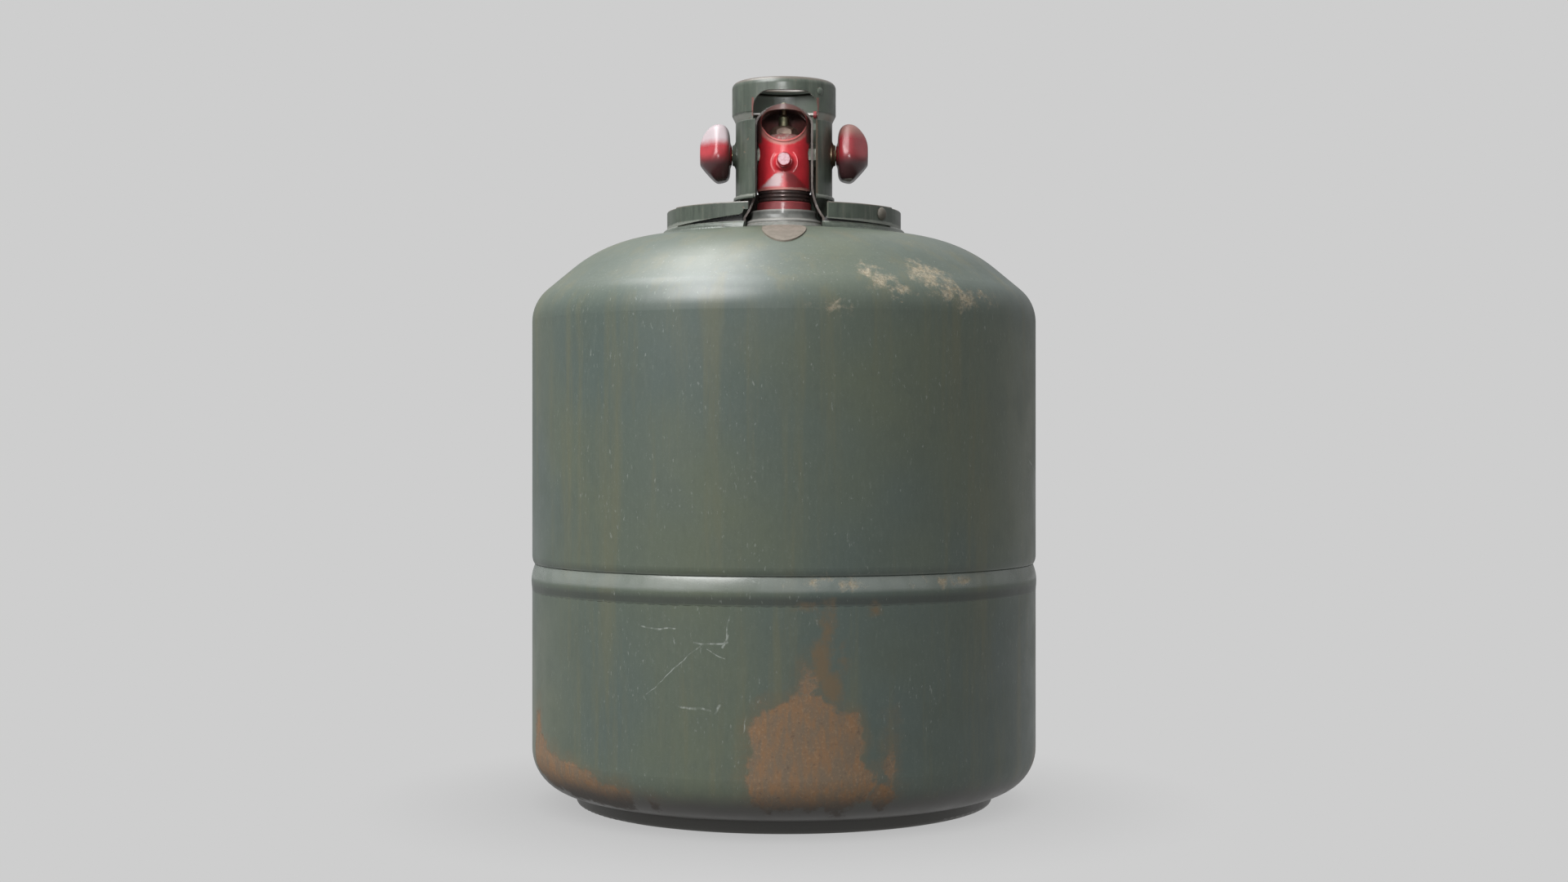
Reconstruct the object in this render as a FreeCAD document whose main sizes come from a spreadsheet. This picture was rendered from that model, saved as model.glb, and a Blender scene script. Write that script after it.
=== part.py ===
"""Caravan propane tank: welded steel vessel, valve guard and twin-handwheel valve.

Millimetres.  +Z is up, the front (the red push button) faces -Y, and the origin is on the
ground on the tank's axis.  The sheet holds the driving dimensions; every piece is an object
of this document whose sizes are bound to the sheet.
"""
import FreeCAD, Part
import os
import re
import Sketcher
from FreeCAD import Placement, Rotation, Vector

SIZES = [
    # vessel
    ("shell_radius", 155, "outside of the cylindrical wall"),
    ("wall", 2.5, "plate thickness of shells and bottom head"),
    ("dome_top", 352, "crown height"),
    ("crown_radius", 567, "sphere of the crown"),
    ("crown_slope", 9, "slope where crown meets shoulder"),
    ("shoulder_radius", 87, "arc between crown and cone"),
    ("cone_slope", 40, "slope of the short cone"),
    ("knuckle_radius", 25, "arc between cone and wall"),
    ("seam_top", 146.6, "lower edge of the upper shell"),
    ("joggle_low", 137.5, "where the lower shell starts to step in"),
    ("joggle_rise", 4.8, "height of that step"),
    ("lap_top", 160, "top of the lap inside the upper shell"),
    ("lap_gap", 0.1, "fit of the lap"),
    ("tuck_radius", 9, "round that turns the upper shell's lower edge in"),
    ("tuck_height", 4.5, "height of that round"),
    ("bead_radius", 22, "round face of the girth weld"),
    ("curl_radius", 26, "lower shell's curl towards the foot"),
    ("curl_height", 34, "where that curl starts"),
    ("foot_radius", 128, "outside of the foot ring"),
    ("foot_thick", 4.5, "radial thickness of the foot ring"),
    ("foot_tall", 14, "height of the foot ring"),
    ("foot_round", 2.2, "round of its lower outer edge"),
    ("head_low", 5, "lowest point of the bottom head"),
    ("head_depth", 60, "depth of the bottom head's dish"),
    ("head_knuckle", 30, "knuckle of the bottom head"),
    ("head_skirt", 25, "straight flange of the bottom head"),
    ("head_weld", 3.5, "height of the flange's fillet weld"),
    # neck boss and guard
    ("shank_radius", 12, "valve's shank"),
    ("neck_radius", 17, "hole in the crown"),
    ("neck_low", 345, "lower end of the neck boss"),
    ("neck_flange", 23.6, "flange of the neck boss"),
    ("neck_step", 356.6, "top of that flange"),
    ("neck_collar", 20.3, "collar of the neck boss"),
    ("neck_top", 362.7, "top of the neck boss"),
    ("guard_radius", 29.9, "outside of the guard tube"),
    ("guard_wall", 3, "plate of the guard"),
    ("guard_step", 417.5, "where the guard widens"),
    ("band_low", 422, "where the wide band starts"),
    ("band_radius", 32.1, "outside of the wide band"),
    ("guard_top", 442.5, "top of the guard"),
    ("band_round", 4, "round of the top edge"),
    ("lip_radius", 24.3, "top opening"),
    ("foot_flange", 31.2, "outside of the guard's foot flange"),
    ("foot_flange_z", 369.2, "underside of that flange"),
    ("foot_flange_thick", 2.2, "its thickness"),
    ("arch_shift", 0.8, "front arch's offset to the right"),
    ("arch_half", 19.6, "front arch's half width"),
    ("arch_top", 434, "front arch's top"),
    ("arch_round", 10, "front arch's corners"),
    ("slot_left", -17.5, "left edge of the front slot below the band"),
    ("slot_right", 19.5, "right edge of that slot"),
    ("toe_half", 27, "half width of the cut below the foot flange"),
    ("window_half", 17, "back window's half width"),
    ("window_low", 376, "back window's sill"),
    ("window_top", 421, "back window's head"),
    ("window_round", 8, "back window's corners"),
    ("guard_rivet_angle", 47, "rivet on the band, from the right towards the front"),
    # ring on the dome
    ("ring_radius", 72.3, "outside of the rear arc"),
    ("ring_thick", 2.2, "plate of the ring"),
    ("ring_low", 350.7, "lower edge of the ring"),
    ("ring_top", 362, "upper edge of the ring"),
    ("ring_gap", 18.5, "half angle of the front gap"),
    ("ring_skew", 2, "turn of that gap to the right"),
    ("ring_toe_left", 3.6, "lift of the left front arc's toe"),
    ("ring_toe_right", 1.4, "lift of the right front arc's toe"),
    ("ring_lap_start", 50, "where the rear arc starts behind the front arcs"),
    ("ring_lap_end", 61, "where the front arcs end"),
    ("ring_rivet_angle", 51.5, "rivet, from the front"),
    ("ring_rivet_z", 357, "height of the rivet"),
    ("plate_half", 12.7, "half width of the oval plate"),
    ("plate_long", 21, "half length of the oval plate"),
    ("plate_centre", 99, "its distance from the axis"),
    ("plate_thick", 0.8, "its thickness"),
    # valve stack
    ("valve_z", 397.8, "height of spindles and outlet"),
    ("shank_low", 338, "lower end of the shank"),
    ("red_ring_radius", 16.8, "red ring"),
    ("lock_low", 368, "underside of the lock ring"),
    ("lock_radius", 16, "lock ring"),
    ("hood_low", 375, "lower edge of the hood"),
    ("block_radius", 13.5, "valve block"),
    ("block_top", 404.5, "top of the valve block"),
    ("bore", 3, "block's central bore"),
    ("relief_z", 403.3, "relief seat"),
    ("relief_bore", 5, "relief chamber"),
    ("nut_low", 410.3, "underside of the gland nut"),
    ("nut_top", 415.6, "top of the gland nut"),
    ("nut_radius", 9, "gland nut across corners, halved"),
    ("stem_radius", 3.35, "relief stem"),
    ("run", 0.06, "radial running clearance"),
    ("stem_tip", 1.7, "stem's upper pin"),
    ("stem_top", 430.6, "end of that pin"),
    ("hood_radius", 16.6, "hood in plan"),
    ("hood_wall", 1.6, "hood's plate"),
    ("hood_spring", 415.8, "where the hood's arch starts"),
    ("hood_rise", 11.8, "rise of the hood's arch"),
    ("hood_corner", 7, "small radius of the arch"),
    ("scoop_half", 13.8, "scoop opening's half width"),
    ("scoop_low", 404.6, "bottom of the scoop opening"),
    ("scoop_mid", 415.5, "where the scoop is widest"),
    ("scoop_top", 423.6, "top of the scoop opening"),
    ("strap_thick", 1.3, "strap over the hood"),
    ("strap_half", 9, "strap's half width"),
    ("strap_flare", 36.5, "flare of the strap's feet"),
    ("strap_bend", 380, "where the flare starts"),
    ("strap_toe", 358.5, "where the flare ends"),
    ("strap_low", 354.7, "end of the strap"),
    # spindles and handwheels, measured outwards from the valve's axis
    ("seat_x", 5.5, "side seats"),
    ("chamber", 5, "radius of the side chambers"),
    ("orifice", 2.5, "radius of the side orifices"),
    ("disc_thick", 1.5, "seat disc"),
    ("carrier_long", 3.5, "seat carrier"),
    ("thread_radius", 2.4, "spindle's thread"),
    ("collar_x", 12, "spindle's collar"),
    ("pack_x", 13, "inner end of the packing nut"),
    ("pack_hex_x", 14.5, "where its hexagon starts"),
    ("pack_end", 20.5, "outer end of the packing nut"),
    ("pack_hex", 7.1, "packing nut across corners, halved"),
    ("spindle_radius", 3.5, "spindle"),
    ("boss_end", 31.9, "outer end of the guard's spindle boss"),
    ("hub_x", 32.2, "inner end of the wheel's hub"),
    ("hub_radius", 6.2, "hub"),
    ("wheel_x", 33.3, "wheel's inner face"),
    ("wheel_radius", 19.4, "wheel"),
    ("wheel_round", 6.5, "round of the inner edge"),
    ("wheel_belt", 41.5, "outer end of the widest part"),
    ("wheel_dome", 19.7, "arc of the outer edge"),
    ("wheel_edge_x", 50.4, "end of that arc"),
    ("wheel_edge_radius", 11.7, "radius there"),
    ("wheel_end", 51.9, "outer face"),
    ("recess_radius", 4.6, "screw recess"),
    ("recess_x", 46.5, "floor of the recess"),
    ("facet_in", 15.4, "facet's distance at the inner face"),
    ("facet_out", 17.4, "facet's distance at the belt"),
    # front push button, measured forwards from the valve's axis
    ("button_z", 392, "height of the push button"),
    ("button_radius", 4.4, "push button"),
    ("button_face", 31, "its face"),
    ("button_back", 16.4, "its shoulder"),
    ("tail_radius", 3.5, "its tail"),
    ("tail_end", 12.6, "end of the tail"),
    ("pin_radius", 1.5, "bleed pin"),
    ("pin_end", 3.6, "end of the bleed pin"),
    ("well", 3.7, "radius of the spring well"),
    ("well_floor", 5, "floor of the spring well"),
    ("boss_face", 20.5, "face of the hood's boss"),
    ("boss_root", 6.9, "boss at the hood"),
    ("boss_tip", 5.4, "boss at its face"),
    # outlet, measured backwards from the valve's axis
    ("port_radius", 14, "outlet port"),
    ("port_bore", 10.2, "outlet bore"),
    ("port_start", 18, "front of the port"),
    ("port_floor", 22, "floor of the bore"),
    ("outlet_seat", 9.2, "radius of the outlet seal's seat"),
    ("outlet_seal_thick", 2, "outlet seal"),
    ("port_end", 42, "mouth"),
    ("port_neck", 6, "neck of the port"),
    ("gallery_y", 8, "gallery behind the central bore"),
    ("gallery", 2, "radius of the galleries"),
    # cross pin
    ("cross_y", 18, "cross pin, behind the axis"),
    ("cross_z", 425.8, "height of the cross pin"),
    ("cross_radius", 1.4, "cross pin"),
    ("cross_half", 24.3, "its half length, ending inside the guard's wall"),
    ("collar_inner_x", 18.4, "inner end of the collar on it"),
    # filling stop
    ("dip_radius", 6, "dip tube"),
    ("stop_top", 268, "top of the filling stop's housing"),
    ("stop_low", 244, "bottom of the housing"),
    ("stop_radius", 10, "housing"),
    ("hinge_x", 14, "float hinge"),
    ("hinge_z", 248, "height of the float hinge"),
    ("arm_angle", 135, "arm's direction at its lower stop, from straight up"),
    ("arm_long", 96, "arm"),
    ("float_start", 44, "float's near end along the arm"),
    ("float_radius", 11, "float"),
]

WHEEL_FACETS = 3
LOCK_GROOVES = 3
HEX_SIDES = 6
STEM_COILS = 4
BUTTON_COILS = 4

doc = FreeCAD.newDocument("propane_tank")
sheet = doc.addObject("Spreadsheet::Sheet", "sizes")
for row, (alias, value, meaning) in enumerate(SIZES, start=1):
    sheet.set(f"A{row}", alias)
    sheet.set(f"B{row}", str(value))
    sheet.set(f"C{row}", meaning)
    sheet.setAlias(f"B{row}", alias)
doc.recompute()
ALIASES = {alias for alias, value, meaning in SIZES}

TURN = {
    "up": Rotation(),
    "right": Rotation(Vector(0, 1, 0), 90),
    "left": Rotation(Vector(0, 1, 0), -90) * Rotation(Vector(0, 0, 1), 180),
    "back": Rotation(Vector(1, 0, 0), -90),
    "front": Rotation(Vector(1, 0, 0), 90),
}
nodes = {}


# ---------------------------------------------------------------- document helpers

def bound(expression):
    """The expression with each of the sheet's names written as sizes.name."""
    return re.sub(r"[a-z_]+", lambda word: "sizes." + word[0] if word[0] in ALIASES else word[0],
                  str(expression))


def number(expression):
    """The expression's value now."""
    value = sheet.evalExpression(str(expression))
    return float(getattr(value, "Value", value))


def add(kind, label):
    item = doc.addObject(kind, label)
    item.Label = label
    return item


def keep(item):
    """Registers a finished sub-part under its label."""
    nodes[item.Label] = item
    return item


def place(item, at=(0, 0, 0), turn="up"):
    """Puts an object at a point bound to the sheet, with its local Z along a direction."""
    rotation = TURN[turn] if isinstance(turn, str) else turn
    item.Placement = Placement(Vector(*[number(value) for value in at]), rotation)
    for axis, value in zip("xyz", at):
        item.setExpression(f"Placement.Base.{axis}", bound(value))
    return item


def origin_plane(body, role):
    return next(plane for plane in body.Origin.OriginFeatures if plane.Role == role)


def arc_centre(start, end, radius):
    """Centre of the arc from start to end that turns left (radius > 0) or right (radius < 0)."""
    chord = end - start
    half = chord.Length / 2
    reach = max(radius * radius - half * half, 0) ** 0.5
    side = 1 if radius > 0 else -1
    normal = Vector(-chord.y, chord.x, 0).normalize()
    return (start + end) / 2 + normal * reach * side


def outline(body, points, plane="XZ_Plane", offset=None, name="outline"):
    """A closed sketch through points, each (x, y) or (x, y, radius).

    A radius makes the side that leaves the point an arc: it turns left if positive and right
    if negative.  Every coordinate and radius is bound to the sheet.
    """
    sketch = body.newObject("Sketcher::SketchObject", f"{body.Name}_{name}")
    sketch.AttachmentSupport = [(origin_plane(body, plane), "")]
    sketch.MapMode = "FlatFace"
    if offset is not None:
        sketch.AttachmentOffset.Base.z = number(offset)
        sketch.setExpression("AttachmentOffset.Base.z", bound(offset))
    corners = [Vector(number(point[0]), number(point[1]), 0) for point in points]
    sides = []
    ends = []
    for index, point in enumerate(points):
        start = corners[index]
        end = corners[(index + 1) % len(points)]
        radius = number(point[2]) if len(point) > 2 else 0
        if not radius:
            sides.append(Part.LineSegment(start, end))
            ends.append((1, 2))
            continue
        centre = arc_centre(start, end, radius)
        circle = Part.Circle(centre, Vector(0, 0, 1), abs(radius))
        first, last = (start, end) if radius > 0 else (end, start)
        sides.append(Part.ArcOfCircle(circle, circle.parameter(first), circle.parameter(last)))
        ends.append((1, 2) if radius > 0 else (2, 1))
    sketch.addGeometry(sides, False)
    joins = []
    sizes = []
    for index, point in enumerate(points):
        before = index - 1 if index else len(points) - 1
        joins.append(Sketcher.Constraint("Coincident", before, ends[before][1], index, ends[index][0]))
    for index, point in enumerate(points):
        corner = corners[index]
        sizes.append((Sketcher.Constraint("DistanceX", -1, 1, index, ends[index][0], corner.x), point[0]))
        sizes.append((Sketcher.Constraint("DistanceY", -1, 1, index, ends[index][0], corner.y), point[1]))
        if len(point) > 2:
            radius = abs(number(point[2]))
            sizes.append((Sketcher.Constraint("Radius", index, radius), f"abs({point[2]})"))
    sketch.addConstraint(joins + [constraint for constraint, expression in sizes])
    for index, (constraint, expression) in enumerate(sizes, start=len(joins)):
        sketch.setExpression(f"Constraints[{index}]", bound(expression))
    return sketch


def turned(label, points, at=(0, 0, 0), turn="up", angle=None):
    """A body of revolution about its local Z; points are (radius, height)."""
    body = add("PartDesign::Body", label)
    sketch = outline(body, points)
    spin = body.newObject("PartDesign::Revolution", label + "_turn")
    spin.Profile = sketch
    spin.ReferenceAxis = (sketch, ["V_Axis"])
    if angle is not None:
        spin.Midplane = True
        spin.Angle = number(angle)
        spin.setExpression("Angle", bound(angle))
    return place(body, at, turn)


def cap(radius, low, rise):
    """The end of a turned outline that closes as a part of a sphere centred on the axis."""
    sphere = f"(({radius})*({radius}) + ({rise})*({rise}))/(2*({rise}))"
    return [(radius, low, sphere), ("0", f"{low} + {rise}")]


def tube(label, inner, outer, low, high, at=(0, 0, 0), turn="up"):
    """A plain ring or bush along its local Z."""
    return turned(label, [(inner, low), (outer, low), (outer, high), (inner, high)], at, turn)


def padded(label, points, length, plane="XY_Plane", at=(0, 0, 0), turn="up"):
    """A body made by pushing an outline out evenly to both sides of its plane."""
    body = add("PartDesign::Body", label)
    pad = body.newObject("PartDesign::Pad", label + "_pad")
    pad.Profile = outline(body, points, plane)
    pad.SideType = "Symmetric"
    pad.Length = number(length)
    pad.setExpression("Length", bound(length))
    return place(body, at, turn)


def pocket(body, points, near, length, name):
    """Cuts an outline in the XZ plane, from Y = -near towards +Y over a length."""
    cut = body.newObject("PartDesign::Pocket", f"{body.Name}_{name}")
    cut.Profile = outline(body, points, offset=near, name=name + "_outline")
    cut.Type = "Length"
    cut.Length = number(length)
    cut.setExpression("Length", bound(length))
    body.Tip = cut
    return cut


def rod(label, radius, length, at, turn="up"):
    """A plain cylinder from a point along a direction."""
    item = add("Part::Cylinder", label)
    item.setExpression("Radius", bound(radius))
    item.setExpression("Height", bound(length))
    return place(item, at, turn)


def brick(label, size, at):
    """A box with its low corner at a point."""
    item = add("Part::Box", label)
    for name, value in zip(("Length", "Width", "Height"), size):
        item.setExpression(name, bound(value))
    return place(item, at)


def fused(label, parts):
    item = add("Part::MultiFuse", label)
    item.Shapes = parts
    item.Refine = True
    return item


def common(label, first, second):
    item = add("Part::Common", label)
    item.Base = first
    item.Tool = second
    return item


def drilled(label, base, tools):
    """The base less all the tools."""
    item = add("Part::Cut", label)
    item.Base = base
    item.Tool = tools[0] if len(tools) == 1 else fused(label + "_tools", tools)
    return item


def coil(label, mean_radius, wire_radius, length, turns, at, turn="up"):
    """A spring about its local Z, made as a helix of round wire."""
    body = add("PartDesign::Body", label)
    sketch = body.newObject("Sketcher::SketchObject", label + "_wire")
    sketch.AttachmentSupport = [(origin_plane(body, "XZ_Plane"), "")]
    sketch.MapMode = "FlatFace"
    centre = Vector(number(mean_radius), number(wire_radius), 0)
    sketch.addGeometry(Part.Circle(centre, Vector(0, 0, 1), number(wire_radius)))
    sketch.addConstraint([Sketcher.Constraint("DistanceX", -1, 1, 0, 3, centre.x),
                          Sketcher.Constraint("DistanceY", -1, 1, 0, 3, centre.y),
                          Sketcher.Constraint("Radius", 0, centre.y)])
    for index, expression in enumerate((mean_radius, wire_radius, wire_radius)):
        sketch.setExpression(f"Constraints[{index}]", bound(expression))
    helix = body.newObject("PartDesign::AdditiveHelix", label + "_helix")
    helix.Profile = sketch
    helix.ReferenceAxis = (sketch, ["V_Axis"])
    helix.Mode = "pitch-height-angle"
    rise = f"{length} - 2*{wire_radius}"
    helix.setExpression("Height", bound(rise))
    helix.setExpression("Pitch", bound(f"({rise})/{turns}"))
    return place(body, at, turn)


def crown_z(radius, inset=0):
    """Height of the crown's surface, or of a surface that much further in, at a radius."""
    return f"dome_top - crown_radius + sqrt((crown_radius - {inset})^2 - ({radius})^2)"


# ---------------------------------------------------------------- vessel

SHOULDER_X = "(crown_radius - shoulder_radius)*sin(crown_slope)"
SHOULDER_Z = "dome_top - crown_radius + (crown_radius - shoulder_radius)*cos(crown_slope)"
KNUCKLE_X = "shell_radius - knuckle_radius"
KNUCKLE_Z = (f"{SHOULDER_Z} + (shoulder_radius - knuckle_radius)*cos(cone_slope)"
             f" - ({KNUCKLE_X} - {SHOULDER_X} - (shoulder_radius - knuckle_radius)*sin(cone_slope))"
             "*tan(cone_slope)")


def dome_points(inset):
    """Knots of the dome's section, from the wall up to the crown's edge, at an inset."""
    knuckle = f"(knuckle_radius - {inset})"
    shoulder = f"(shoulder_radius - {inset})"
    return [
        (f"shell_radius - {inset}", KNUCKLE_Z, knuckle),
        (f"{KNUCKLE_X} + {knuckle}*sin(cone_slope)", f"{KNUCKLE_Z} + {knuckle}*cos(cone_slope)"),
        (f"{SHOULDER_X} + {shoulder}*sin(cone_slope)", f"{SHOULDER_Z} + {shoulder}*cos(cone_slope)",
         shoulder),
        (f"{SHOULDER_X} + {shoulder}*sin(crown_slope)", f"{SHOULDER_Z} + {shoulder}*cos(crown_slope)",
         f"(crown_radius - {inset})"),
    ]


def returning(points, last):
    """The same knots walked the other way: each side takes its arc, turning right instead."""
    walk = list(points) + [last]
    back = []
    for index in range(len(walk) - 1, 0, -1):
        before = walk[index - 1]
        back.append(walk[index][:2] + ((f"-1*{before[2]}",) if len(before) > 2 else ()))
    back.append(walk[0][:2])
    return back


def upper_shell():
    outer_edge = ("neck_radius", crown_z("neck_radius"))
    inner_edge = ("neck_radius", crown_z("neck_radius", "wall"))
    tuck = "shell_radius - tuck_radius + sqrt(tuck_radius^2 - tuck_height^2)"
    points = [(tuck, "seam_top", "tuck_radius"), ("shell_radius", "seam_top + tuck_height")]
    points += dome_points("0") + [outer_edge]
    points += returning(dome_points("wall"), inner_edge) + [("shell_radius - wall", "seam_top")]
    keep(turned("upper_shell", points))


def lower_shell():
    lap = "shell_radius - wall - lap_gap"
    curl_x = "(foot_radius - shell_radius + curl_radius)"
    points = [
        ("foot_radius", f"curl_height - sqrt(curl_radius^2 - {curl_x}^2)", "curl_radius"),
        ("shell_radius", "curl_height"),
        ("shell_radius", "joggle_low"),
        (lap, "joggle_low + joggle_rise"),
        (lap, "lap_top"),
        (f"{lap} - wall", "lap_top"),
        (f"{lap} - wall", "joggle_low + joggle_rise - wall/2"),
        ("shell_radius - wall", "joggle_low - wall/2"),
        ("shell_radius - wall", "curl_height", "-1*(curl_radius - wall)"),
        ("foot_radius", f"curl_height - sqrt((curl_radius - wall)^2 - {curl_x}^2)"),
    ]
    keep(turned("lower_shell", points))


def girth_weld():
    lap = "shell_radius - wall - lap_gap"
    crest = "shell_radius - bead_radius + sqrt(bead_radius^2 - (seam_top - joggle_low)^2)"
    keep(turned("girth_weld", [
        ("shell_radius", "joggle_low", "bead_radius"),
        (crest, "seam_top"),
        (lap, "seam_top"),
        (lap, "joggle_low + joggle_rise"),
    ]))


def bottom_head():
    rim = "(shell_radius - wall)"
    centre_x = f"({rim} - head_knuckle)"
    crown = f"((head_depth^2 - head_knuckle^2 + {centre_x}^2)/(2*(head_depth - head_knuckle)))"
    skirt_low = "(head_low + head_depth)"
    across = f"({centre_x}/({crown} - head_knuckle))"
    down = f"(({crown} - head_depth)/({crown} - head_knuckle))"
    inner = "(head_knuckle - wall)"
    keep(turned("bottom_head", [
        ("0", "head_low", crown),
        (f"{centre_x} + head_knuckle*{across}", f"{skirt_low} - head_knuckle*{down}", "head_knuckle"),
        (rim, skirt_low),
        (rim, f"{skirt_low} + head_skirt"),
        (f"{rim} - wall", f"{skirt_low} + head_skirt"),
        (f"{rim} - wall", skirt_low, f"-1*{inner}"),
        (f"{centre_x} + {inner}*{across}", f"{skirt_low} - {inner}*{down}", f"-1*({crown} - wall)"),
        ("0", "head_low + wall"),
    ]))
    weld_low = f"{skirt_low} + head_skirt"
    keep(turned("bottom_head_weld", [
        (f"{rim} - wall", weld_low), (rim, weld_low), (rim, f"{weld_low} + head_weld")]))


def foot_ring():
    keep(turned("foot_ring", [
        ("foot_radius - foot_thick", "0"),
        ("foot_radius - foot_round", "0", "foot_round"),
        ("foot_radius", "foot_round"),
        ("foot_radius", "foot_tall"),
        ("foot_radius - foot_thick", "foot_tall"),
    ]))


# ---------------------------------------------------------------- neck, guard and ring

def neck_boss():
    keep(turned("neck_boss", [
        ("shank_radius", "neck_low"),
        ("neck_radius", "neck_low"),
        ("neck_radius", crown_z("neck_radius"), "-1*crown_radius"),
        ("neck_flange", crown_z("neck_flange")),
        ("neck_flange", "neck_step - 1", "1"),
        ("neck_flange - 1", "neck_step"),
        ("neck_flange - 1.5", "neck_step", "-5"),
        ("neck_collar", "neck_top - 2"),
        ("neck_collar", "neck_top"),
        ("shank_radius", "neck_top"),
    ]))
    weld_reach = "(guard_radius - guard_wall - 0.2)"
    keep(turned("neck_weld", [
        ("neck_flange", crown_z("neck_flange"), "-1*crown_radius"),
        (weld_reach, crown_z(weld_reach)),
        ("neck_flange", "neck_step - 2.2"),
    ]))


def guard():
    inside = "(guard_radius - guard_wall)"
    band_inside = "(band_radius - guard_wall)"
    body = turned("guard_blank", [
        (inside, crown_z(inside), "-1*crown_radius"),
        ("guard_radius", crown_z("guard_radius")),
        ("guard_radius", "guard_step"),
        ("band_radius", "band_low"),
        ("band_radius", "guard_top - band_round", "band_round"),
        ("band_radius - band_round", "guard_top"),
        ("lip_radius + 1.2", "guard_top", "1.2"),
        ("lip_radius", "guard_top - 1.2"),
        ("lip_radius", "guard_top - guard_wall"),
        (f"{band_inside} - 1", "guard_top - guard_wall", "-1"),
        (band_inside, "guard_top - guard_wall - 1"),
        (band_inside, "band_low - 1"),
        (inside, "guard_step - 1"),
    ])
    right = "(arch_shift + arch_half)"
    left = "(arch_shift - arch_half)"
    floor = "dome_top - 3"
    pocket(body, [
        ("-1*toe_half", floor),
        ("toe_half", floor),
        ("toe_half", "foot_flange_z"),
        ("slot_right", "foot_flange_z"),
        ("slot_right", "guard_step"),
        (right, "guard_step"),
        (right, "arch_top - arch_round", "arch_round"),
        (f"{right} - arch_round", "arch_top"),
        (f"{left} + arch_round", "arch_top", "arch_round"),
        (left, "arch_top - arch_round"),
        (left, "guard_step"),
        ("slot_left", "guard_step"),
        ("slot_left", "foot_flange_z"),
        ("-1*toe_half", "foot_flange_z"),
    ], "2*guard_radius", "2*guard_radius", "arch")
    pocket(body, [
        ("-1*window_half", "window_low"),
        ("window_half", "window_low"),
        ("window_half", "window_top - window_round", "window_round"),
        ("window_half - window_round", "window_top"),
        ("window_round - window_half", "window_top", "window_round"),
        ("-1*window_half", "window_top - window_round"),
    ], "0", "2*guard_radius", "window")
    holes = [rod("guard_spindle_hole_" + side, "chamber + 1", "band_radius",
                 ("0", "0", "valve_z"), side) for side in ("left", "right")]
    rivet_turn = Rotation(Vector(0, 0, 1), -1 * number("guard_rivet_angle")) * TURN["right"]
    holes.append(rod("guard_rivet_hole", "1.4", "2*band_radius", ("0", "0", "arch_top"), rivet_turn))
    holes.append(rod("guard_cross_hole", "cross_radius", "2*cross_half",
                     ("-1*cross_half", "cross_y", "cross_z"), "right"))
    keep(drilled("guard", body, holes))
    rivet = [("0", "band_radius - 1"), ("1.4", "band_radius - 1"), ("1.4", "band_radius"),
             ("2.4", "band_radius")]
    keep(turned("guard_rivet", rivet + cap("2.4", "band_radius + 0.2", "1"),
                ("0", "0", "arch_top"), rivet_turn))


def guard_foot():
    flange = turned("guard_foot_ring", [
        ("guard_radius", "foot_flange_z"),
        ("foot_flange", "foot_flange_z"),
        ("foot_flange", "foot_flange_z + foot_flange_thick - 0.6"),
        ("foot_flange - 0.6", "foot_flange_z + foot_flange_thick"),
        ("guard_radius", "foot_flange_z + foot_flange_thick"),
    ])
    gap = brick("guard_foot_gap", ("2*arch_half", "foot_flange + 2", "2*foot_flange_thick"),
                ("arch_shift - arch_half", "-1*(foot_flange + 2)", "foot_flange_z - 1"))
    keep(drilled("guard_foot", flange, [gap]))


def guard_boss(side):
    """Flared boss on the guard's side that the spindle passes through."""
    flare = turned(f"guard_boss_{side}_blank", [
        ("spindle_radius + 0.7", "guard_radius - 4"),
        ("hub_radius + 2.4", "guard_radius - 4"),
        ("hub_radius + 2.4", "guard_radius - 0.6", "-4"),
        ("hub_radius", "boss_end"),
        ("spindle_radius + 0.7", "boss_end"),
    ], ("0", "0", "valve_z"), side)
    core = rod(f"guard_boss_{side}_core", "guard_radius", "2*guard_radius",
               ("0", "0", "valve_z - guard_radius"))
    keep(drilled(f"guard_boss_{side}", flare, [core]))


def ring_arc(label, inner, outer, half_angle, heading):
    """Upright plate of the ring on the dome, spanning an angle to both sides of a heading."""
    return turned(label, [(inner, "ring_low"), (outer, "ring_low"),
                          (outer, "ring_top - 0.8", "0.8"), (f"{outer} - 0.8", "ring_top"),
                          (inner, "ring_top")],
                  turn=Rotation(Vector(0, 0, 1), heading), angle=f"2*({half_angle})")


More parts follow.
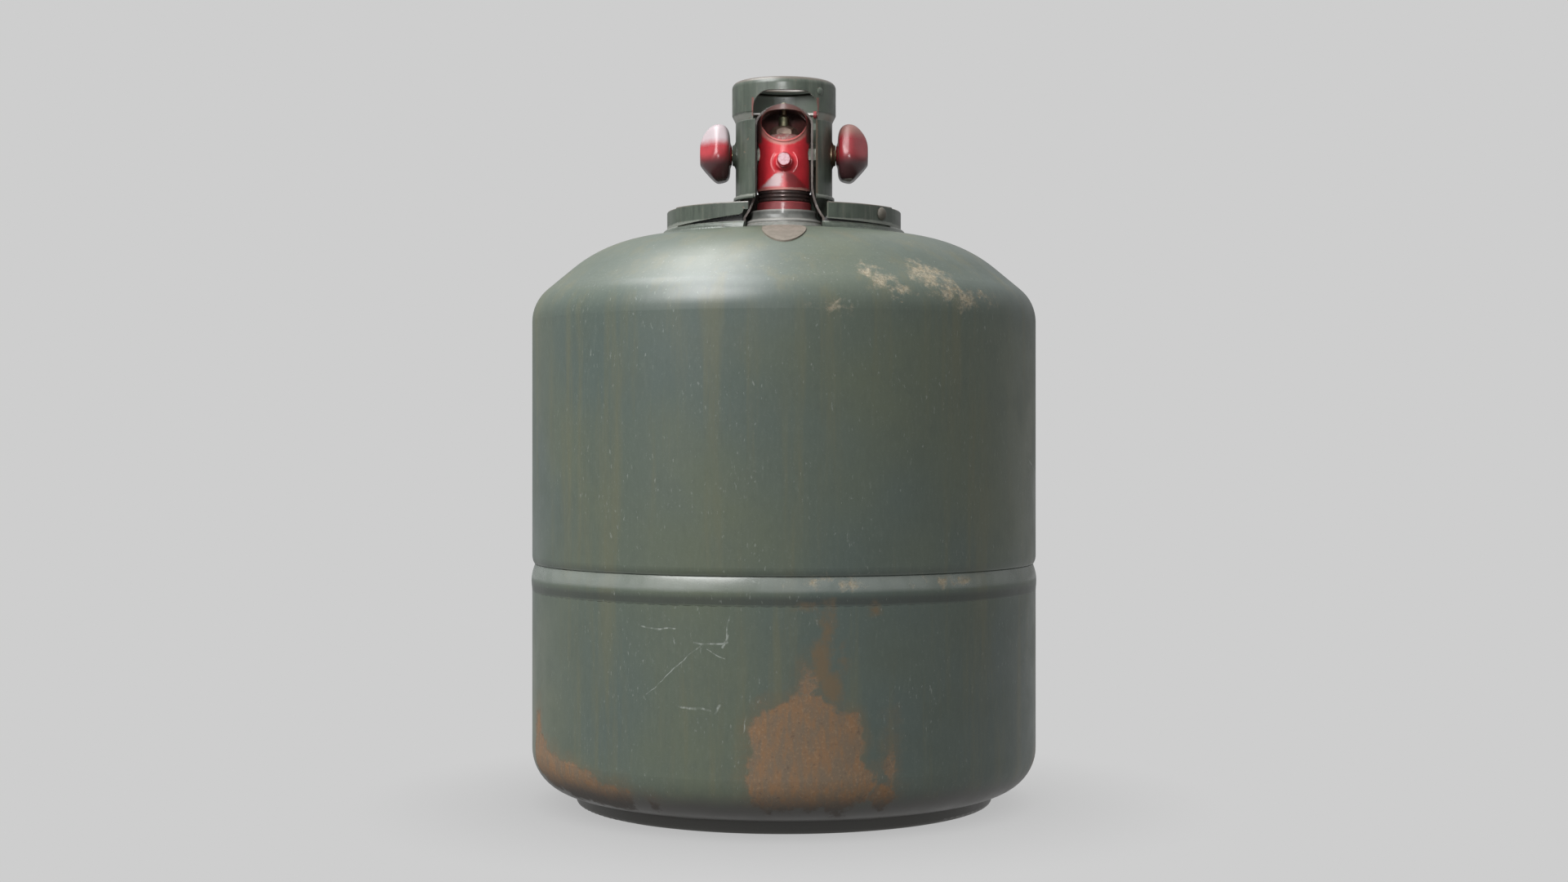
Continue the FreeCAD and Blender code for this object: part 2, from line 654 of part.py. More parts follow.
def dome_ring():
    keep(ring_arc("ring_rear", "ring_radius - ring_thick", "ring_radius", "180 - ring_lap_start", 90))
    outer = "(ring_radius + ring_thick)"
    for side, sign in (("left", -1), ("right", 1)):
        gap = f"(ring_gap + {sign}*ring_skew)"
        middle = number(f"({gap} + ring_lap_end)/2")
        body = ring_arc(f"ring_front_{side}", "ring_radius", outer, f"(ring_lap_end - {gap})/2",
                        -90 + sign * middle)
        toe = f"(ring_low + ring_toe_{side})"
        under = [("ring_radius*0.15", "ring_low - 5"), (f"{outer} + 2", "ring_low - 5"),
                 (f"{outer} + 2", "ring_low"), ("ring_radius*0.86", "ring_low"),
                 ("ring_radius*0.38", toe, "-3.2"), ("ring_radius*0.33", f"{toe} + 3"),
                 ("ring_radius*0.15", f"{toe} + 3")]
        # the cutter passes right through, so half a turn about Z mirrors it to the left
        cutter = padded(f"ring_front_{side}_under", under, "8*ring_radius", "XZ_Plane",
                        turn=Rotation(Vector(0, 0, 1), 90 - 90 * sign))
        body.Label = f"ring_front_{side}_blank"
        keep(drilled(f"ring_front_{side}", body, [cutter]))
    heading = number("ring_rivet_angle") - 90
    face = "ring_radius + ring_thick"
    keep(turned("ring_rivet", [("0", face), ("3.9", face)] + cap("3.9", f"{face} + 0.5", "2.1"),
                ("0", "0", "ring_rivet_z"), Rotation(Vector(0, 0, 1), heading) * TURN["right"]))
    inner_edge = "(ring_radius - ring_thick - 0.9)"
    outer_edge = "(ring_radius + ring_thick + 1.2)"
    keep(turned("ring_weld", [
        (inner_edge, crown_z(inner_edge), "-1*crown_radius"),
        (outer_edge, crown_z(outer_edge), "5"),
        ("ring_radius + ring_thick - 1.4", "ring_low - 0.05"),
        ("ring_radius - ring_thick", "ring_low - 0.05"),
    ], turn=Rotation(Vector(0, 0, 1), 90), angle="2*(180 - ring_gap)"))


def dome_plate():
    """Thin oval plate that lies on the dome in front."""
    layer = turned("dome_plate_layer",
                   dome_points("0")[1:] + [("0", "dome_top")]
                   + returning(dome_points("(-1*plate_thick)")[1:], ("0", "dome_top + plate_thick")))
    oval = add("Part::Ellipse", "dome_plate_oval")
    oval.setExpression("MajorRadius", bound("plate_long"))
    oval.setExpression("MinorRadius", bound("plate_half"))
    place(oval, ("0", "-1*plate_centre", "0"), Rotation(Vector(0, 0, 1), 90))
    prism = add("Part::Extrusion", "dome_plate_prism")
    prism.Base = oval
    prism.DirMode = "Normal"
    prism.Solid = True
    prism.setExpression("LengthFwd", bound("guard_top"))
    keep(common("dome_plate", layer, prism))


# ---------------------------------------------------------------- valve body

def valve_block():
    blank = turned("valve_block_blank", [
        ("bore", "shank_low"), ("shank_radius", "shank_low"), ("shank_radius", "hood_low"),
        ("block_radius", "hood_low"), ("block_radius", "block_top"), ("relief_bore", "block_top"),
        ("relief_bore", "relief_z"), ("bore", "relief_z")])
    axis_point = ("0", "0", "valve_z")
    tools = []
    for side, sign in (("left", -1), ("right", 1)):
        tools.append(rod(f"orifice_{side}", "orifice", "seat_x + 1", axis_point, side))
        tools.append(rod(f"chamber_{side}", "chamber", "block_radius",
                         (f"{sign}*seat_x", "0", "valve_z"), side))
        tools.append(rod(f"gallery_{side}", "gallery", "gallery_y",
                         (f"{sign}*(seat_x + gallery + 0.6)", "0", "valve_z"), "back"))
        tools.append(rod(f"gallery_end_{side}", "gallery", "seat_x + gallery + 0.6",
                         ("0", "gallery_y", "valve_z"), side))
    tools.append(rod("outlet_drilling", "gallery + 0.6", "block_radius",
                     ("0", "gallery_y", "valve_z"), "back"))
    tools.append(rod("bleed_drilling", "pin_radius + run", "block_radius",
                     ("0", "0", "button_z"), "front"))
    tools.append(rod("spring_well", "well", "block_radius",
                     ("0", "-1*well_floor", "button_z"), "front"))
    # flat behind, where the outlet's neck seats
    tools.append(brick("outlet_flat", ("4*port_neck", "10", "4*port_neck"),
                       ("-2*port_neck", "block_radius - 0.9", "valve_z - 2*port_neck")))
    keep(drilled("valve_block", blank, tools))


def valve_stack():
    chamfer = 0.7
    keep(turned("red_ring", [
        ("shank_radius", "neck_top"), ("red_ring_radius", "neck_top"),
        ("red_ring_radius", f"lock_low - {chamfer}"), (f"red_ring_radius - {chamfer}", "lock_low"),
        ("shank_radius", "lock_low")]))
    pitch = f"((hood_low - lock_low)/{LOCK_GROOVES})"
    points = [("shank_radius", "lock_low")]
    for groove in range(LOCK_GROOVES):
        base = f"lock_low + {groove}*{pitch}"
        points += [(f"lock_radius - {chamfer}", base), ("lock_radius", f"{base} + 0.35*{pitch}"),
                   ("lock_radius", f"{base} + 0.75*{pitch}")]
    points += [(f"lock_radius - {chamfer}", "hood_low"), ("shank_radius", "hood_low")]
    keep(turned("lock_ring", points))
    keep(turned("valve_shoulder", [
        ("relief_bore + 0.2", "block_top"), ("block_radius", "block_top"),
        ("block_radius", "block_top + 0.8", "8"), ("nut_radius", "nut_low"),
        ("relief_bore + 0.2", "nut_low")]))
    dome = turned("gland_nut_dome", [
        ("relief_bore", "nut_low"), ("nut_radius + 0.2", "nut_low"),
        ("nut_radius + 0.2", "nut_low + 1.6", "6.5"), ("stem_radius + 2", "nut_top"),
        ("stem_radius + run", "nut_top"), ("stem_radius + run", "nut_top - 2"),
        ("relief_bore", "nut_top - 2")])
    corners = [(f"nut_radius*cos({360 * step / HEX_SIDES})", f"nut_radius*sin({360 * step / HEX_SIDES})")
               for step in range(HEX_SIDES)]
    hexagon = padded("gland_nut_hexagon", corners, "4*nut_radius", at=("0", "0", "nut_low"))
    keep(common("gland_nut", dome, hexagon))


def relief_valve():
    """Spring-loaded stem on the axis: it lifts off its seat when the pressure is too high."""
    flange_low = "relief_z + 0.7"
    flange_top = "relief_z + 1.7"
    keep(turned("relief_stem", [
        ("0", flange_low), ("relief_bore - 0.3", flange_low), ("relief_bore - 0.3", flange_top),
        ("stem_radius", flange_top), ("stem_radius", "stem_top - 9.3"),
        ("stem_tip", "stem_top - 7.5"), ("stem_tip", "stem_top - 0.6", "0.6"),
        ("stem_tip - 0.6", "stem_top"), ("0", "stem_top")]))
    keep(tube("relief_seal", "bore + 0.2", "relief_bore - 0.3", "relief_z", flange_low))
    keep(coil("relief_spring", "(stem_radius + relief_bore)/2", "0.35",
              f"nut_top - 2.2 - ({flange_top})", STEM_COILS, ("0", "0", f"{flange_top} + 0.1")))


def arch(half, base, spring, rise, corner):
    """An arch of three arcs on two upright legs, walked from its right foot to its left one."""
    crown = f"((({rise})^2 + (({half}) - ({corner}))^2 - ({corner})^2)/(2*(({rise}) - ({corner}))))"
    centre_z = f"(({spring}) + ({rise}) - {crown})"
    reach = f"({crown}/({crown} - ({corner})))"
    meet_x = f"(({half}) - ({corner}))*{reach}"
    meet_z = f"{centre_z} + (({spring}) - {centre_z})*{reach}"
    return [(half, base), (half, spring, corner), (meet_x, meet_z, crown),
            (f"-1*{meet_x}", meet_z, corner), (f"-1*({half})", spring), (f"-1*({half})", base)]


def hood_shell(label, radius, spring, rise, corner):
    """Round in plan, arched from the front: the hood's outside or its hollow."""
    plan = rod(label + "_plan", radius, "guard_top - hood_low", ("0", "0", "hood_low"))
    front = padded(label + "_front", arch(radius, "hood_low", spring, rise, corner),
                   "4*hood_radius", "XZ_Plane")
    return common(label, plan, front)


def valve_hood():
    outside = hood_shell("hood_outside", "hood_radius", "hood_spring", "hood_rise", "hood_corner")
    hollow = hood_shell("hood_hollow", "hood_radius - hood_wall", "hood_spring",
                        "hood_rise - hood_wall", "hood_corner - hood_wall")
    boss = turned("hood_boss", [
        ("0", "block_radius + 0.3"), ("boss_root + 1.6", "block_radius + 0.3"),
        ("boss_root + 1.6", "hood_radius - 0.9", "-3"), ("boss_tip", "boss_face - 0.5"),
        ("boss_tip - 0.5", "boss_face"), ("0", "boss_face")], ("0", "0", "button_z"), "front")
    scoop = padded("hood_scoop", [
        ("scoop_half", "scoop_mid"), ("scoop_half", "scoop_mid + 1.5", "6"),
        ("scoop_half - 4.5", "scoop_top", "60"), ("4.5 - scoop_half", "scoop_top", "6"),
        ("-1*scoop_half", "scoop_mid + 1.5"), ("-1*scoop_half", "scoop_mid", "scoop_half + 1"),
        ("0", "scoop_low", "scoop_half + 1")], "2*hood_radius", "XZ_Plane",
        at=("0", "-1*hood_radius", "0"))
    tools = [hollow, scoop, rod("hood_button_hole", "button_radius + run", "2*boss_face",
                                ("0", "0", "button_z"), "front")]
    for side in ("left", "right"):
        tools.append(rod(f"hood_spindle_hole_{side}", "pack_hex + 0.4", "2*hood_radius",
                         ("0", "0", "valve_z"), side))
    tools.append(rod("hood_outlet_hole", "port_neck + 0.3", "2*hood_radius",
                     ("0", "0", "valve_z"), "back"))
    tools.append(rod("hood_stem_hole", "stem_tip + run", "2*hood_rise", ("0", "0", "hood_spring")))
    keep(drilled("valve_hood", fused("hood_solid", [outside, boss]), tools))


def hood_strap():
    """Strap that runs from the neck's flange up one side of the hood, over it and down."""
    inner = "hood_radius"
    outer = "(hood_radius + strap_thick)"
    outer_toe = f"({outer} + strap_flare - strap_thick - sqrt((strap_flare - strap_thick)^2" \
                " - (strap_bend - strap_toe)^2))"
    inner_toe = f"({inner} + strap_flare - sqrt(strap_flare^2 - (strap_bend - strap_toe)^2))"
    over = arch(outer, "strap_bend", "hood_spring", "hood_rise + strap_thick", "hood_corner + strap_thick")
    under = arch(inner, "strap_bend", "hood_spring", "hood_rise", "hood_corner")
    points = [
        (inner_toe, "strap_low"), (outer_toe, "strap_low"),
        (outer_toe, "strap_toe", "-1*(strap_flare - strap_thick)"),
    ]
    points += over[:-1] + [(f"-1*{outer}", "strap_bend", "-1*(strap_flare - strap_thick)")]
    points += [(f"-1*{outer_toe}", "strap_toe"), (f"-1*{outer_toe}", "strap_low"),
               (f"-1*{inner_toe}", "strap_low"), (f"-1*{inner_toe}", "strap_toe", "strap_flare"),
               (f"-1*{inner}", "strap_bend")]
    walk = under[1:-1]
    for index in range(len(walk) - 1, 0, -1):
        before = walk[index - 1]
        points.append(walk[index][:2] + (f"-1*({before[2]})",))
    points += [walk[0][:2], (inner, "strap_bend", "strap_flare"), (inner_toe, "strap_toe")]
    strip = padded("hood_strap_strip", points, "2*strap_half", "XZ_Plane")
    holes = [rod(f"strap_hole_{side}", "pack_hex + 0.4", "2*hood_radius",
                 ("0", "0", "valve_z"), side) for side in ("left", "right")]
    holes.append(rod("strap_stem_hole", "stem_tip + 0.4", "2*hood_rise", ("0", "0", "hood_spring")))
    keep(drilled("hood_strap", strip, holes))


# ---------------------------------------------------------------- spindles and handwheels

def side_valve(side):
    """Everything on one spindle; heights here are distances out from the valve's axis."""
    at = ("0", "0", "valve_z")
    nut_blank = turned(f"packing_nut_{side}_blank", [
        ("spindle_radius + run", "pack_x"), ("chamber", "pack_x"), ("chamber", "pack_hex_x"),
        ("pack_hex + 0.1", "pack_hex_x"), ("pack_hex + 0.1", "pack_end - 1"),
        ("pack_hex - 1.2", "pack_end"), ("spindle_radius + run", "pack_end"),
        ("spindle_radius + run", "pack_x + 4"), ("chamber - 0.4", "pack_x + 4"),
        ("chamber - 0.4", "pack_x + 2"), ("spindle_radius + run", "pack_x + 2")], at, side)
    corners = [(f"pack_hex*cos({360 * step / HEX_SIDES})", f"pack_hex*sin({360 * step / HEX_SIDES})")
               for step in range(HEX_SIDES)]
    hexagon = padded(f"packing_nut_{side}_hexagon", corners, "4*pack_end", at=at, turn=side)
    keep(common(f"packing_nut_{side}", nut_blank, hexagon))
    keep(tube(f"gland_packing_{side}", "spindle_radius + run", "chamber - 0.4", "pack_x + 2",
              "pack_x + 4", at, side))
    carrier_x = "(seat_x + disc_thick)"
    keep(tube(f"seat_disc_{side}", "orifice*0.2", "chamber - 0.8", "seat_x", carrier_x, at, side))
    keep(turned(f"seat_carrier_{side}", [
        ("0", carrier_x), ("chamber - run", carrier_x), ("chamber - run", f"{carrier_x} + carrier_long"),
        ("thread_radius + run", f"{carrier_x} + carrier_long"),
        ("thread_radius + run", f"{carrier_x} + 1"), ("0", f"{carrier_x} + 1")], at, side))
    keep(turned(f"spindle_{side}", [
        ("0", "collar_x - 2.6"), ("thread_radius", "collar_x - 2.6"), ("thread_radius", "collar_x"),
        ("chamber - 1", "collar_x"), ("chamber - 1", "pack_x - 0.1"),
        ("spindle_radius", "pack_x - 0.1"), ("spindle_radius", "recess_x"), ("0", "recess_x")], at, side))
    handwheel(side, at)
    keep(tube(f"wheel_washer_{side}", "1.6", "recess_radius - 0.3", "recess_x", "recess_x + 0.8",
              at, side))
    screw = turned(f"wheel_screw_{side}_blank", [
        ("0", "recess_x"), ("1.6", "recess_x"), ("1.6", "recess_x + 0.8"),
        ("recess_radius - 0.9", "recess_x + 0.8"), ("recess_radius - 0.9", "recess_x + 2.2", "1.2"),
        ("recess_radius - 2.1", "recess_x + 3.4"), ("0", "recess_x + 3.4")], at, side)
    slot_half = 0.5
    sign = {"left": -1, "right": 1}[side]
    low_x = "recess_x + 2.2" if sign > 0 else "-1*recess_x - 2.2 - 3"
    slot = brick(f"wheel_screw_{side}_slot", ("3", "2*recess_radius", 2 * slot_half),
                 (low_x, "-1*recess_radius", f"valve_z - {slot_half}"))
    keep(drilled(f"wheel_screw_{side}", screw, [slot]))


def handwheel(side, at):
    body = turned(f"handwheel_{side}", [
        ("spindle_radius", "hub_x"), ("hub_radius", "hub_x"), ("hub_radius + 0.4", "wheel_x - 0.4"),
        ("hub_radius + 1.4", "wheel_x"),
        ("wheel_radius - wheel_round", "wheel_x", "wheel_round"),
        ("wheel_radius", "wheel_x + wheel_round"),
        ("wheel_radius", "wheel_belt", "wheel_dome"),
        ("wheel_edge_radius", "wheel_edge_x", "30"),
        ("recess_radius + 0.5", "wheel_end", "0.5"),
        ("recess_radius", "wheel_end - 0.5"),
        ("recess_radius", "recess_x"),
        ("spindle_radius", "recess_x"),
    ], at, side)
    facet = body.newObject("PartDesign::Pocket", f"handwheel_{side}_facet")
    facet.Profile = outline(body, [
        ("facet_in", "hub_x"), ("facet_out", "wheel_belt + 0.9"),
        ("wheel_edge_radius - 4", "wheel_edge_x"), ("wheel_edge_radius - 4", "wheel_end + 3"),
        ("wheel_radius + 5", "wheel_end + 3"), ("wheel_radius + 5", "hub_x")], name="facet_outline")
    facet.Type = "ThroughAll"
    facet.SideType = "Symmetric"
    body.Tip = facet
    ring = body.newObject("PartDesign::PolarPattern", f"handwheel_{side}_facets")
    ring.Originals = [facet]
    ring.Axis = (facet.Profile[0], ["V_Axis"])
    ring.Angle = 360
    ring.Occurrences = WHEEL_FACETS
    body.Tip = ring
    keep(body)


# ---------------------------------------------------------------- button, outlet, cross pin

def push_button():
    """Red button, pushed back against its spring to open the bleed."""
    at = ("0", "0", "button_z")
    keep(turned("bleed_button", [
        ("0", "pin_end"), ("pin_radius", "pin_end"), ("pin_radius", "tail_end"),
        ("tail_radius", "tail_end"), ("tail_radius", "button_back"), ("button_radius", "button_back"),
        ("button_radius", "button_face - 0.9", "0.9"), ("button_radius - 0.9", "button_face"),
        ("0", "button_face")], at, "front"))
    keep(tube("bleed_seal", "pin_radius + run", "well - 0.1", "well_floor", "well_floor + 0.8",
              at, "front"))
    keep(coil("bleed_spring", "(pin_radius + well)/2", "0.35", "tail_end - 0.1 - (well_floor + 0.9)",
              BUTTON_COILS, ("0", "-1*(well_floor + 0.9)", "button_z"), "front"))


def outlet():
    at = ("0", "0", "valve_z")
    keep(turned("outlet_port", [
        ("gallery + 0.6", "block_radius - 0.9"), ("port_neck", "block_radius - 0.9"),
        ("port_neck", "port_start"), ("port_radius - 1", "port_start"), ("port_radius", "port_start + 1"),
        ("port_radius", "port_end - 6"), ("port_radius - 0.8", "port_end - 5.5"),
        ("port_radius - 0.8", "port_end - 1"), ("port_radius - 1.8", "port_end"),
        ("port_bore", "port_end"), ("port_bore", "port_floor + outlet_seal_thick"),
        ("outlet_seat", "port_floor + outlet_seal_thick"), ("outlet_seat", "port_floor"),
        ("gallery + 0.6", "port_floor")], at, "back"))
    keep(tube("outlet_seal", "port_neck + 0.2", "outlet_seat", "port_floor",
              "port_floor + outlet_seal_thick", at, "back"))


def cross_pin():
    start = ("-1*cross_half", "cross_y", "cross_z")
    keep(rod("cross_pin", "cross_radius", "2*cross_half", start, "right"))
    keep(turned("cross_pin_collar", [
        ("cross_radius", "collar_inner_x"), ("cross_radius + 0.7", "collar_inner_x"),
        ("cross_radius + 0.95", "collar_inner_x + 0.3"), ("cross_radius + 0.95", "collar_inner_x + 1.9"),
        ("cross_radius + 0.7", "collar_inner_x + 2.2"), ("cross_radius", "collar_inner_x + 2.2"),
    ], ("0", "cross_y", "cross_z"), "right"))


# ---------------------------------------------------------------- inside the vessel

def filling_stop():
    """Dip tube, level tube and the float that stops the filling."""
    keep(tube("dip_tube", "bore + 0.1", "dip_radius", "stop_top", "shank_low"))
    keep(tube("level_tube", "0.8", "1.6", "shank_low - 38", "shank_low", at=("-8.5", "0", "0")))
    arm_gap = "2.3"
    lug_thick = "2.7"
    core = turned("stop_core", [
        ("bore + 1", "stop_low"), ("stop_radius", "stop_low"), ("stop_radius", "stop_top - 2"),
        ("stop_radius - 2", "stop_top"), ("bore + 1", "stop_top")])
    lugs = [brick(f"stop_lug_{name}", ("hinge_x - 3", lug_thick, "9"), ("7", low, "hinge_z - 4.5"))
            for name, low in (("near", f"-1*{arm_gap} - {lug_thick}"), ("far", arm_gap))]
    pin_hole = rod("stop_pin_hole", "pin_radius", "16", ("hinge_x", "-8", "hinge_z"), "back")
    keep(drilled("stop_housing", fused("stop_solid", [core] + lugs), [pin_hole]))
    keep(rod("float_pin", "pin_radius", "11", ("hinge_x", "-5.5", "hinge_z"), "back"))
    down = Rotation(Vector(0, 1, 0), number("arm_angle"))
    hinge = ("hinge_x", "0", "hinge_z")
    stalk = rod("float_stalk", "1.8", "arm_long", hinge, down)
    eye = rod("float_eye", "3.6", "4", ("hinge_x", "-2", "hinge_z"), "back")
    eye_hole = rod("float_eye_hole", "pin_radius + run", "16", ("hinge_x", "-8", "hinge_z"), "back")
    keep(drilled("float_arm", fused("float_arm_solid", [stalk, eye]), [eye_hole]))
    keep(turned("float", [
        ("1.8", "float_start"), ("float_radius - 3", "float_start", "3"),
        ("float_radius", "float_start + 3"), ("float_radius", "arm_long - 5", "3"),
        ("float_radius - 3", "arm_long - 2"), ("1.8", "arm_long - 2")], hinge, down))


upper_shell()
lower_shell()
girth_weld()
bottom_head()
foot_ring()
neck_boss()
guard()
guard_foot()
dome_ring()
dome_plate()
valve_block()
valve_stack()
relief_valve()
valve_hood()
hood_strap()
for side_name in ("left", "right"):
    guard_boss(side_name)
    side_valve(side_name)
push_button()
outlet()
cross_pin()
filling_stop()
doc.recompute()

failed = [item.Label for item in doc.Objects if "Invalid" in item.State or "Error" in item.State]
if failed:
    raise RuntimeError("objects that failed: " + ", ".join(failed))
for label, item in nodes.items():
    if item.Shape.isNull() or not item.Shape.isValid() or not item.Shape.Solids:
        raise RuntimeError("bad shape: " + label)

os.makedirs("parts", exist_ok=True)
for label, item in nodes.items():
    item.Shape.exportStep(os.path.join("parts", label + ".step"))
print(len(nodes), "sub-parts written")
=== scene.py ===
import math

import bmesh
import bpy
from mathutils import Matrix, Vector


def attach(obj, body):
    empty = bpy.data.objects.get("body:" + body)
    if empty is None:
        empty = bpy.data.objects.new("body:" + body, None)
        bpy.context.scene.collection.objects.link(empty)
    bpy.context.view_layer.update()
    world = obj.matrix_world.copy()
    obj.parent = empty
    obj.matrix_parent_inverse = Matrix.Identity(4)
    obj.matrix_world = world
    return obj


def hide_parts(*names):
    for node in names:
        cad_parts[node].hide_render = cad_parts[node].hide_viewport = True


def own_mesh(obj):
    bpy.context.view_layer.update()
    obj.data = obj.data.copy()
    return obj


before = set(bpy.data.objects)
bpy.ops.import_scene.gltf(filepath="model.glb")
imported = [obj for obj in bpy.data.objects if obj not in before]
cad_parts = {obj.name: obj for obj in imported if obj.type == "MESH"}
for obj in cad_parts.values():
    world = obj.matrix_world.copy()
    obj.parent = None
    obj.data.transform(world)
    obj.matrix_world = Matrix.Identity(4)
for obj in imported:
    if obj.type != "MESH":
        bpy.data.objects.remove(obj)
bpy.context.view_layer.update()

# sizes of the part, in millimetres
WALL = 155.0  # radius of the vessel's wall
CROWN_TOP = 352.0  # height of the dome's crown
CROWN_RADIUS = 567.0  # sphere of the crown
GUARD = 29.9  # outer radius of the guard's tube
SPINDLE_Z = 397.8  # height of the axes of the handwheels and of the outlet
BUTTON_Z = 392.0  # height of the push button
SCOOP_Z = 419.4  # centre of the arc that the scoop's lower edge follows
HOOD = 16.6  # radius of the hood's front, seen from above

# brightness of the pale studio
PALE = 0.617  # floor and backdrop as the camera sees them
BOUNCE = 0.42  # the floor as a light
AMBIENT_LOW = 0.12  # the backdrop as a light, below
AMBIENT_HIGH = 0.79  # and above


# ---------------------------------------------------------------- material graphs

class Look:
    """A procedural material, with short calls for the nodes it is made of."""

    def __init__(self, name, **constants):
        self.material = bpy.data.materials.new(name)
        self.material.use_nodes = True
        self.tree = self.material.node_tree
        self.shader = self.tree.nodes["Principled BSDF"]
        for socket, value in constants.items():
            self.shader.inputs[socket.replace("_", " ")].default_value = value
        where = self.node("TexCoord").outputs
        self.place = where["Object"]
        self.facing = where["Normal"]

    def feed(self, socket, value):
        """Links a socket to another, or gives it a number, a vector or a colour."""
        if isinstance(value, bpy.types.NodeSocket):
            self.tree.links.new(value, socket)
        elif socket.type == "RGBA":
            socket.default_value = (*value, 1.0)
        else:
            socket.default_value = value

    def node(self, kind, inputs=(), **settings):
        """A new node; its inputs go by name or number."""
        made = self.tree.nodes.new("ShaderNode" + kind)
        for name, value in settings.items():
            setattr(made, name, value)
        for key, value in dict(inputs).items():
            self.feed(made.inputs[key], value)
        return made

    def calc(self, operation, *values):
        return self.node("Math", enumerate(values), operation=operation).outputs[0]

    def vector(self, operation, *values):
        made = self.node("VectorMath", enumerate(values), operation=operation)
        return made.outputs["Value" if operation in ("LENGTH", "DOT_PRODUCT") else "Vector"]

    def parts(self, vector):
        """The three coordinates of a vector."""
        return self.node("SeparateXYZ", {0: vector}).outputs

    def joined(self, across, up):
        """A vector of two coordinates, the third being 0."""
        return self.node("CombineXYZ", {0: across, 1: up}).outputs[0]

    def noise(self, scale, detail=3.0, rough=0.55):
        """Noise from 0 to 1; scale is in waves per metre, one number or one for each axis."""
        where = self.place
        if isinstance(scale, tuple):
            where, scale = self.vector("MULTIPLY", where, scale), 1.0
        return self.node("TexNoise", {"Vector": where, "Scale": scale, "Detail": detail,
                                      "Roughness": rough}).outputs[0]

    def millimetres(self):
        """The three coordinates of a point in millimetres."""
        return self.parts(self.vector("MULTIPLY", self.place, (1000.0, 1000.0, 1000.0)))

    def step(self, value, low, high, start=0.0, end=1.0):
        """Rises smoothly from start to end while value goes from low to high."""
        return self.node("MapRange", {"Value": value, "From Min": low, "From Max": high,
                                      "To Min": start, "To Max": end},
                         interpolation_type="SMOOTHSTEP").outputs[0]

    def band(self, value, low, high, soft=0.4):
        """1 between low and high, falling off over the soft distance on either side."""
        return self.calc("MULTIPLY", self.step(value, low - soft, low + soft),
                         self.step(value, high - soft, high + soft, 1.0, 0.0))

    def both(self, *values):
        """The product of shares: high only where all of them are."""
        result = values[0]
        for value in values[1:]:
            result = self.calc("MULTIPLY", result, value)
        return result

    def away(self, first, second, middle):
        """Distance of two coordinates from a point."""
        return self.vector("LENGTH", self.joined(self.calc("SUBTRACT", first, middle[0]),
                                                 self.calc("SUBTRACT", second, middle[1])))

    def spread(self, value, noise, amount):
        """The value shifted up and down by noise."""
        return self.calc("MULTIPLY_ADD", self.calc("SUBTRACT", noise, 0.5), amount, value)

    def mix(self, share, first, second):
        """A colour that goes from first to second as the share goes from 0 to 1."""
        return self.node("Mix", {0: share, 6: first, 7: second}, data_type="RGBA").outputs[2]

    def blend(self, share, first, second):
        """A number that goes from first to second as the share goes from 0 to 1."""
        return self.node("Mix", {0: share, 2: first, 3: second}).outputs[0]

    def most(self, *values):
        """The largest of the values."""
        result = values[0]
        for value in values[1:]:
            result = self.calc("MAXIMUM", result, value)
        return result

    def unwrapped(self):
        """Distance round the wall from the front, and height, both in millimetres."""
        x, y, z = self.parts(self.place)
        turn = self.calc("ARCTAN2", x, self.calc("MULTIPLY", y, -1.0))
        return self.joined(self.calc("MULTIPLY", turn, WALL), self.calc("MULTIPLY", z, 1000.0))

    def patches(self, flat, ovals):
        """How far inside the nearest oval a point is, in millimetres, less than 0 outside."""
        deepest = None
        for angle, height, wide, tall in ovals:
            middle = math.radians(angle) * WALL
            local = self.node("VectorMath", {0: flat, 1: (1 / wide, 1 / tall, 0.0),
                                             2: (-middle / wide, -height / tall, 0.0)},
                              operation="MULTIPLY_ADD").outputs["Vector"]
            small = min(wide, tall)
            inside = self.calc("MULTIPLY_ADD", self.vector("LENGTH", local), -small, small)
            deepest = inside if deepest is None else self.calc("MAXIMUM", deepest, inside)
        return deepest

    def lines(self, flat, strokes):
        """1 on thin scratches, fading out beside them."""
        marks = []
        for angle, height, angle_end, height_end, width in strokes:
            start = Vector((math.radians(angle) * WALL, height, 0.0))
            run = Vector((math.radians(angle_end) * WALL, height_end, 0.0)) - start
            off = self.vector("SUBTRACT", flat, tuple(start))
            along = self.vector("DOT_PRODUCT", off, tuple(run / run.length_squared))
            held = self.calc("MINIMUM", self.calc("MAXIMUM", along, 0.0), 1.0)
            back = self.node("VectorMath", {0: tuple(run), "Scale": held}, operation="SCALE")
            gap = self.vector("LENGTH", self.vector("SUBTRACT", off, back.outputs["Vector"]))
            marks.append(self.step(gap, width, width * 4.0, 1.0, 0.0))
        return self.most(*marks)

    def finish(self, colour, roughness, height, depth, metallic=None):
        """Feeds the shader; a height of 1 in the bump stands for the depth, in metres."""
        self.feed(self.shader.inputs["Base Color"], colour)
        self.feed(self.shader.inputs["Roughness"], roughness)
        if metallic is not None:
            self.feed(self.shader.inputs["Metallic"], metallic)
        bump = self.node("Bump", {"Height": height, "Distance": depth, "Strength": 1.0})
        self.feed(self.shader.inputs["Normal"], bump.outputs[0])
        return self.material


# ---------------------------------------------------------------- materials

